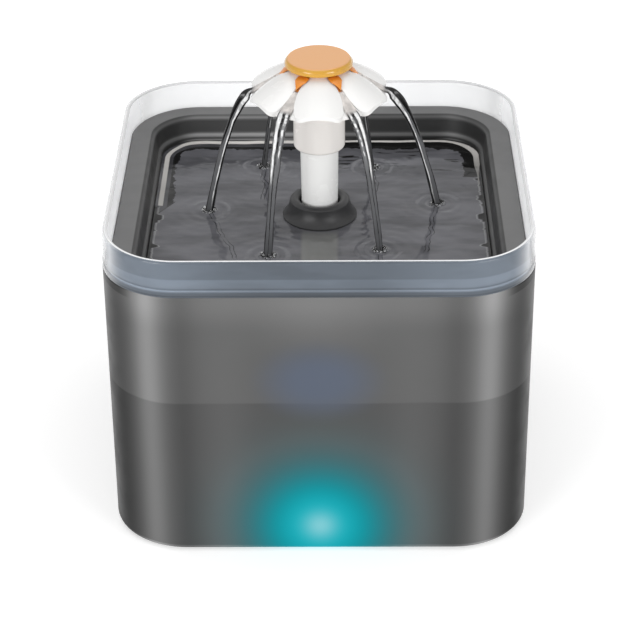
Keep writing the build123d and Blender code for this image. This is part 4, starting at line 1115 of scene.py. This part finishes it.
# ------------------------------------------------------------------ sub-assemblies ---
@dataclass
class Streams:
    """Six clear streams that fall from the gutters between the petals into the pool.

    For each stream, counted round from the right, `half_widths` gives half its width in millimetres at
    even shares of the fall, and `finishes` its finish.
    """

    source_radius: float = 19.2 * MM
    source_height: float = 188.9 * MM
    mouth_radius: float = 29.2 * MM
    mouth_height: float = 182.7 * MM
    film_width: float = 2.6 * MM
    slimness: float = 0.5
    slide_steps: int = 24
    fall_steps: int = 120
    around: int = 32
    broadside: tuple[float, float, float] = (0.0, -0.86, 0.51)
    landings: tuple[Landing, ...] = (
        Landing(53.8, 10.8, -0.15, 48), Landing(24.4, 47.5, 0.05, 26), Landing(-26.9, 49.1, 0.03, 34),
        Landing(-50.7, 4.2, 0.3, 46), Landing(-22.7, -39.3, 0.05, 22), Landing(26.8, -34.5, 0.02, 22))
    half_widths: tuple[tuple[float, ...], ...] = (
        (2.5, 2.6, 1.7, 1.5, 1.9), (1.5, 1.2, 1.1, 1.0, 1.2), (1.6, 1.3, 1.4, 1.1, 1.3),
        (2.6, 2.3, 1.6, 1.6, 1.8), (3.0, 2.5, 2.4, 1.7, 1.9), (2.7, 2.2, 1.9, 1.6, 1.5))
    finishes: tuple[StreamWater, ...] = (SIDE_STREAM, BACK_STREAM, BACK_STREAM, SIDE_STREAM, FRONT_STREAM,
                                         FRONT_STREAM)

    def feet(self) -> np.ndarray:
        """Landing points on the pool, in metres, shaped (6, 2)."""
        return np.array([(landing.x, landing.y) for landing in self.landings]) * MM

    def path(self, number: int) -> tuple[np.ndarray, np.ndarray, np.ndarray]:
        """Middle line of a stream.

        It slides down the gutter from the port to the mouth in a straight line. From there it runs in plan
        straight to its landing; its height is the mouth's height less a part linear in the fall's share s,
        for the slope it leaves with, and a part with s squared, for gravity.

        Args:
            number: Which stream, counted round from the right.

        Returns:
            The points, shaped (steps, 3), the sideways unit vector at each, and the share of the fall,
            which is below zero in the gutter.
        """
        angle = radians(60 * number)
        ray = np.array([cos(angle), sin(angle)])
        mouth = self.mouth_radius * ray
        foot = self.feet()[number]
        share = np.linspace(0, 1, self.fall_steps)
        drop = self.mouth_height - Level.POOL.value + 1.2 * MM
        fall = np.column_stack([mouth + (foot - mouth) * share[:, None],
                                self.mouth_height - drop * (0.2 * share + 0.8 * share ** 2)])
        back = np.linspace(-1, 0, self.slide_steps, endpoint=False)
        reach = self.mouth_radius + (self.mouth_radius - self.source_radius) * back
        slide = np.column_stack([reach[:, None] * ray,
                                 self.mouth_height + (self.mouth_height - self.source_height) * back])
        line = np.concatenate([slide, fall])
        sideways = np.tile([-ray[1], ray[0], 0.0], (len(line), 1))
        return line, sideways, np.concatenate([0.25 * back, share])

    def skin(self, number: int) -> tuple[tuple[np.ndarray, np.ndarray], np.ndarray]:
        """Closed skin of a stream: a flat band with two thick strands that narrows as it falls.

        The band lies flat in its gutter and turns its broad side to the front in the first fifth of the
        fall. Round the section by an angle p, the point is width times cos p to the side and depth times
        (0.35 + 0.65 cos squared p) sin p across, so that the ends of the band are its strands. The width
        runs smoothly through the stream's own list, with small swellings.

        Args:
            number: Which stream.

        Returns:
            The skin, and for each of its points the vector (across, share, number).
        """
        line, sideways, share = self.path(number)
        tangent = np.gradient(line, axis=0)
        tangent /= np.linalg.norm(tangent, axis=1, keepdims=True)
        broad = np.cross(tangent, np.array(self.broadside))
        broad *= np.sign(np.sum(broad * sideways, axis=1, keepdims=True))
        turned = np.clip(share[:, None] / 0.2, 0, 1)
        turned = turned * turned * (3 - 2 * turned)
        wide = sideways * (1 - turned) + broad * turned
        wide -= tangent * np.sum(wide * tangent, axis=1, keepdims=True)
        wide /= np.linalg.norm(wide, axis=1, keepdims=True)
        thick = np.cross(tangent, wide)
        widths = np.array(self.half_widths[number]) * MM
        at = np.clip(share, 0, 1) * (len(widths) - 1)
        left = np.minimum(at.astype(int), len(widths) - 2)
        blend = at - left
        blend = blend * blend * (3 - 2 * blend)
        fallen = np.clip(share, 0, 1)
        width = ((widths[left] * (1 - blend) + widths[left + 1] * blend)
                 * (1 + 0.05 * fallen * np.sin(31 * share + number)))
        slide = np.clip(-4 * share, 0, 1)
        width = width * (1 - slide) + self.film_width * (1 - 0.6 * slide) * slide
        depth = np.where(share < 0, 0.8 * MM, 0.8 * MM + (self.slimness * width - 0.8 * MM) * turned[:, 0])
        angle = np.linspace(0, 2 * pi, self.around, endpoint=False)[None, :]
        side = width[:, None] * np.cos(angle)
        up = depth[:, None] * (0.35 + 0.65 * np.cos(angle) ** 2) * np.sin(angle)
        rings = line[:, None, :] + side[..., None] * wide[:, None, :] + up[..., None] * thick[:, None, :]
        outer = np.sign(wide[-1, 0] * line[-1, 0])
        flat = np.zeros_like(side)
        flow = np.stack([flat + outer * np.cos(angle), flat + share[:, None], flat + number], -1)
        return skin_rings(rings), skin_rings(flow)[0]

    def beads(self) -> list[tuple[np.ndarray, np.ndarray]]:
        """Small drops thrown up in a crown round each landing: spheres at seeded places."""
        dice = np.random.default_rng(7)
        level = Level.POOL.value
        polar = np.linspace(0.12, pi - 0.12, 7)[:, None]
        turn = np.linspace(0, 2 * pi, 10, endpoint=False)[None, :]
        ball = np.stack([np.sin(polar) * np.cos(turn), np.sin(polar) * np.sin(turn),
                         np.cos(polar) + 0 * turn], -1)
        skins = []
        for foot in self.feet():
            for angle in np.linspace(0, 2 * pi, 9, endpoint=False) + dice.uniform(-0.3, 0.3, 9):
                reach = dice.uniform(1.9, 3.6) * MM
                size = dice.uniform(0.3, 0.62) * MM
                middle = [foot[0] + reach * cos(angle), foot[1] + reach * sin(angle),
                          level + dice.uniform(0.3, 1.3) * MM]
                skins.append(skin_rings(ball * size + np.array(middle)))
        return skins

    def build(self) -> None:
        """Makes the streams and their drops, which ride on the tray."""
        pieces = [make_piece("splash_drops", self.beads(), WATER, "tray")]
        for number in range(len(self.landings)):
            skin, flow = self.skin(number)
            pieces.append(make_piece(f"stream_{number + 1}", [skin], self.finishes[number], "tray",
                                     flow=flow))
        for piece in pieces:
            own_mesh(piece)


@dataclass
class Pool:
    """Drinking water in the tray, from the overflow ring out to the bowl's wall."""

    streams: Streams
    inner: float = 15.0 * MM
    wall_inset: float = 14.13 * MM
    sink: float = 0.05 * MM
    around: int = 520
    across: int = 130

    def ripples(self, x: np.ndarray, y: np.ndarray) -> np.ndarray:
        """Height of the surface over the pool's level.

        It is the sum of slow crossing waves, and for each stream a crater: a dip and a ring-shaped lip,
        both bell-shaped in the distance d, and rings sin(k d) that die away as exp(-d / reach).
        """
        height = np.zeros_like(x)
        for way, length, size, phase in ((0.4, 31, 0.10, 0.3), (1.9, 19, 0.07, 1.1), (2.8, 12.5, 0.045, 2.0),
                                         (0.9, 8.3, 0.02, 4.0), (1.3, 5.2, 0.012, 0.7)):
            bend = 1.6 * np.sin((x * cos(way + 1.4) + y * sin(way + 1.4)) / (14 * MM) + phase)
            height += size * np.sin(2 * pi * (x * cos(way) + y * sin(way)) / (length * MM) + bend + phase)
        for number, (fx, fy) in enumerate(self.streams.feet()):
            d = np.hypot(x - fx, y - fy) / MM
            height += -1.1 * np.exp(-(d / 1.5) ** 2) + 0.8 * np.exp(-((d - 2.7) / 0.8) ** 2)
            height += 0.2 * np.sin(1.25 * d + number) * np.exp(-d / 9) * (1 - np.exp(-(d / 3) ** 2))
        return height * MM

    def skin(self) -> tuple[np.ndarray, np.ndarray]:
        """Closed skin of the water body.

        The section runs from the ring out over the surface, down the bowl's wall and cove, and back along
        its floor. At each place round the bowl it is carried between a circle and the wall's rounded square.
        """
        lip_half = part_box("drinking_tray")[1].x
        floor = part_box("overflow_ring")[0].z
        level = Level.POOL.value
        outer = square_outline(lip_half - self.wall_inset + self.sink, POOL_CORNER, self.around)
        angle = np.arctan2(outer[:, 1], outer[:, 0])
        circle = self.inner * np.stack([np.cos(angle), np.sin(angle)], -1)
        share = np.linspace(0, 1, self.across)[:, None, None]
        plan = circle + (outer - circle) * share
        top_height = level + self.ripples(plan[..., 0], plan[..., 1])
        rim = np.clip((np.hypot(*(plan - outer).transpose(2, 0, 1))) / MM, 0, 6)
        top_height += 0.9 * MM * np.exp(-rim / 0.9)
        top = np.concatenate([plan, top_height[..., None]], -1)
        cove = np.linspace(0, pi / 2, 7)
        inset = np.concatenate([[0.0], 0.7 + 6 * (1 - np.cos(cove))]) * MM
        heights = np.concatenate([[level - 2 * MM], floor + 6 * MM * (1 - np.sin(cove)) - self.sink])
        normal = outer / np.linalg.norm(outer, axis=1, keepdims=True)
        wall = [np.column_stack([outer - normal * back, np.full(self.around, z)])
                for back, z in zip(inset, heights)]
        base = np.column_stack([circle, np.full(self.around, floor - self.sink)])
        return skin_rings(np.concatenate([top, np.array(wall), base[None]]), closed=True)

    def build(self) -> None:
        """Makes the pool."""
        make_piece("drinking_water", [self.skin()], PoolWater("pool_water", landings=self.streams.landings),
                   "tray")


@dataclass
class Store:
    """Water that stands in the tank round the pump."""

    wall: float = 2.6 * MM
    around: int = 240
    across: int = 40

    def skin(self) -> tuple[np.ndarray, np.ndarray]:
        """Closed skin: the surface from its middle outwards, then the tank's wall and floor."""
        low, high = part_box("tank_shell")
        half = high.x - self.wall + 0.05 * MM
        outer = square_outline(half, 30.9 * MM, self.around)
        share = np.linspace(0.02, 1, self.across)[:, None, None]
        plan = outer * share
        swell = 0.15 * MM * np.sin(plan[..., 0] / (9 * MM)) * np.sin(plan[..., 1] / (11 * MM))
        top = np.concatenate([plan, (Level.STORE.value + swell)[..., None]], -1)
        floor = low.z + 3.1 * MM
        sides = [np.column_stack([outer * scale, np.full(self.around, z)])
                 for scale, z in ((1.0, floor + 4 * MM), (0.985, floor + 1.2 * MM), (0.955, floor),
                                  (0.02, floor))]
        return skin_rings(np.concatenate([top, np.array(sides)]))

    def build(self) -> None:
        """Makes the stored water."""
        make_piece("stored_water", [self.skin()], WATER, "tank")


@dataclass
class GuardRim:
    """Polished bead along the guard's top edge that carries a painted highlight where the clear wall catches
    light.
    """

    inset: float = 1.75 * MM
    half_width: float = 0.7 * MM
    rise: float = 0.4 * MM
    sink: float = 0.28 * MM
    around: int = 400

    def skin(self) -> tuple[np.ndarray, np.ndarray]:
        """Closed skin of a flat bead: an oval section carried round the guard's rounded square."""
        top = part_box("splash_guard")[1].z - self.sink
        angle = np.linspace(0, 2 * pi, 20, endpoint=False)
        out = self.half_width * np.cos(angle) - self.inset
        rings = [np.column_stack([square_outline(GUARD_HALF + off, GUARD_CORNER + off, self.around),
                                  np.full(self.around, top + self.rise * sin(a))])
                 for a, off in zip(angle, out)]
        return skin_rings(np.array(rings), closed=True)

    def build(self) -> None:
        """Makes the bead of painted highlight."""
        finish = RimLight("guard_rim_light", colour=rgb(0.9, 0.91, 0.92), roughness=0.15, mottle=0.02)
        make_piece("guard_rim_highlight", [self.skin()], finish, "guard")


@dataclass
class PortHoods:
    """Six orange hoods that lead the water from the core's ports, under the cap, into the gutters.

    `tip_radii` says how far out each reaches, counted round from the right.
    """

    root_radius: float = 12.8 * MM
    tip_radii: tuple[float, ...] = (17.4 * MM, 19.7 * MM, 19.7 * MM, 17.4 * MM, 19.7 * MM, 19.7 * MM)
    cap_radius: float = 15.6 * MM
    root_height: float = 193.65 * MM
    half_width: float = 2.8 * MM
    thickness: float = 0.25 * MM
    steps: int = 26
    around: int = 28

    def skin(self, number: int) -> tuple[np.ndarray, np.ndarray]:
        """Closed skin of one hood: a thin sloping sheet that narrows to a point outside the cap.

        With t the share of the way out, its height is the root's less 0.9 t and 2.6 t squared, in
        millimetres. Its half width is even under the cap and falls evenly to the tip beyond it. Round the
        section by an angle p, the point is width times cos p to the side and thickness times sin p up, and
        the sheet hangs down to its sides by half the sideways distance squared over its width.

        Args:
            number: Which hood, counted round from the right.
        """
        share = np.linspace(0, 1, self.steps)[:, None]
        tip = self.tip_radii[number]
        reach = self.root_radius + (tip - self.root_radius) * share
        height = self.root_height - (0.9 * share + 2.6 * share ** 2) * MM
        outside = np.clip((tip - reach) / (tip - self.cap_radius), 0.04, 1)
        angle = np.linspace(0, 2 * pi, self.around, endpoint=False)[None, :]
        side = self.half_width * outside * np.cos(angle)
        up = height + self.thickness * np.sin(angle) - 0.03 * side ** 2 / MM
        turn = radians(60 * number)
        return skin_rings(np.stack([reach * cos(turn) - side * sin(turn),
                                    reach * sin(turn) + side * cos(turn), up], -1))

    def build(self) -> None:
        """Makes the hoods as one piece."""
        make_piece("port_hoods", [self.skin(number) for number in range(6)],
                   Moulded("hood_orange", colour=rgb(0.68, 0.23, 0.02), roughness=0.3), "flower")


@dataclass
class Nodes:
    """The CAD nodes, each dressed in the finish of its slot."""

    def build(self) -> None:
        """Gives every node its finish."""
        made = {slot: finish.material() for slot, finish in FINISHES.items()}
        for row in frame["record"]["subparts"]:
            node = frame["nodes"][row["node"]]
            node.data.materials.clear()
            node.data.materials.append(made[row["material_slot"]])
            log.info("node %s: %s", row["node"], row["material_slot"])


# ------------------------------------------------------------------------ studio ---
@dataclass
class Studio:
    """Camera, lamps, white floor and surroundings."""

    lens: float = 123.5
    pitch: float = radians(30.208)
    yaw: float = radians(-0.608)
    roll: float = radians(-0.493)
    distance: float = 0.8881
    height: float = 0.5822
    shift_x: float = -0.00038
    ambient: float = 0.6

    def camera(self) -> None:
        """Places the camera from its pitch, turn and roll."""
        turn = Matrix.Rotation(-self.yaw, 3, "Z")
        forward = Vector((0, cos(self.pitch), -sin(self.pitch)))
        above = Vector((0, sin(self.pitch), cos(self.pitch)))
        right = Vector((1, 0, 0))
        right_rolled = right * cos(self.roll) + above * sin(self.roll)
        up_rolled = above * cos(self.roll) - right * sin(self.roll)
        columns = [turn @ right_rolled, turn @ up_rolled, turn @ -forward]
        place = turn @ Vector((self.shift_x, -self.distance, self.height))
        data = bpy.data.cameras.new("camera")
        data.lens = self.lens
        data.sensor_width = 36.0
        data.clip_start = 0.05
        eye = bpy.data.objects.new("camera", data)
        eye.matrix_world = Matrix.Translation(place) @ Matrix(columns).transposed().to_4x4()
        bpy.context.scene.collection.objects.link(eye)
        bpy.context.scene.camera = eye

    def lamp(self, name: str, place: tuple[float, float, float], size: float, power: float) -> None:
        """Adds a square soft lamp that looks at the middle of the fountain."""
        data = bpy.data.lights.new(name, "AREA")
        data.size = size
        data.energy = power
        lamp = bpy.data.objects.new(name, data)
        lamp.location = place
        toward = Vector((0, 0, 0.12)) - Vector(place)
        lamp.rotation_euler = toward.to_track_quat("-Z", "Y").to_euler()
        bpy.context.scene.collection.objects.link(lamp)

    def world(self) -> None:
        """White surroundings for the eye, gloss and glass; a lower, even light for matt surfaces."""
        world = bpy.data.worlds.new("studio")
        world.use_nodes = True
        bpy.context.scene.world = world
        graph = Graph(world.node_tree)
        path = graph.add("LightPath")
        seen = graph.math("MAXIMUM", path.outputs["Is Camera Ray"], path.outputs["Is Glossy Ray"])
        seen = graph.math("MAXIMUM", seen, path.outputs["Is Transmission Ray"])
        strength = graph.plus(self.ambient, graph.times(seen, 1 - self.ambient))
        back = graph.add("Background", {0: rgb(1, 1, 1), 1: strength})
        graph.add("OutputWorld", {0: back.outputs[0]})

    def floor(self) -> None:
        """Pale floor that shows white and keeps a faint shadow; it fills up to plain white far out."""
        mesh = bpy.data.meshes.new("floor")
        reach = 6.0
        mesh.from_pydata([(-reach, -reach, 0), (reach, -reach, 0), (reach, reach, 0), (-reach, reach, 0)],
                         [], [(0, 1, 2, 3)])
        material = bpy.data.materials.new("floor_white")
        material.use_nodes = True
        graph = Graph(material.node_tree)
        path = graph.add("LightPath")
        seen = graph.math("MAXIMUM", path.outputs["Is Camera Ray"], path.outputs["Is Glossy Ray"])
        seen = graph.math("MAXIMUM", seen, path.outputs["Is Transmission Ray"])
        matt = graph.add("BsdfDiffuse", {0: rgb(0.8, 0.8, 0.8)}).outputs[0]
        x, y, _ = graph.axes(graph.place())
        fill = graph.remap(graph.length(x, y), 0.3, 1.2, 0.45, 1.0)
        light = graph.add("Emission", {0: rgb(1, 1, 1), 1: graph.times(seen, fill)}).outputs[0]
        graph.surface(graph.add("AddShader", {0: matt, 1: light}).outputs[0])
        mesh.materials.append(material)
        floor = bpy.data.objects.new("floor", mesh)
        bpy.context.scene.collection.objects.link(floor)

    def build(self) -> None:
        """Sets up everything round the fountain."""
        bpy.context.scene.view_settings.view_transform = "Standard"
        self.camera()
        self.lamp("lamp_over", (0.0, 0.1, 1.3), 0.9, 2.5)
        self.lamp("lamp_front_left", (-0.8, -1.1, 0.34), 0.6, 9.6)
        self.lamp("lamp_front_right", (0.9, -1.0, 0.34), 0.6, 8.0)
        self.world()
        self.floor()
        log.info("studio ready")


def main() -> None:
    """Builds the fountain's looks and the studio."""
    logging.basicConfig(level=logging.INFO, format="%(name)s %(message)s")
    Studio().build()
    Nodes().build()
    streams = Streams()
    for assembly in (Pool(streams), streams, Store(), GuardRim(), PortHoods()):
        assembly.build()


if __name__ == "__main__":
    main()
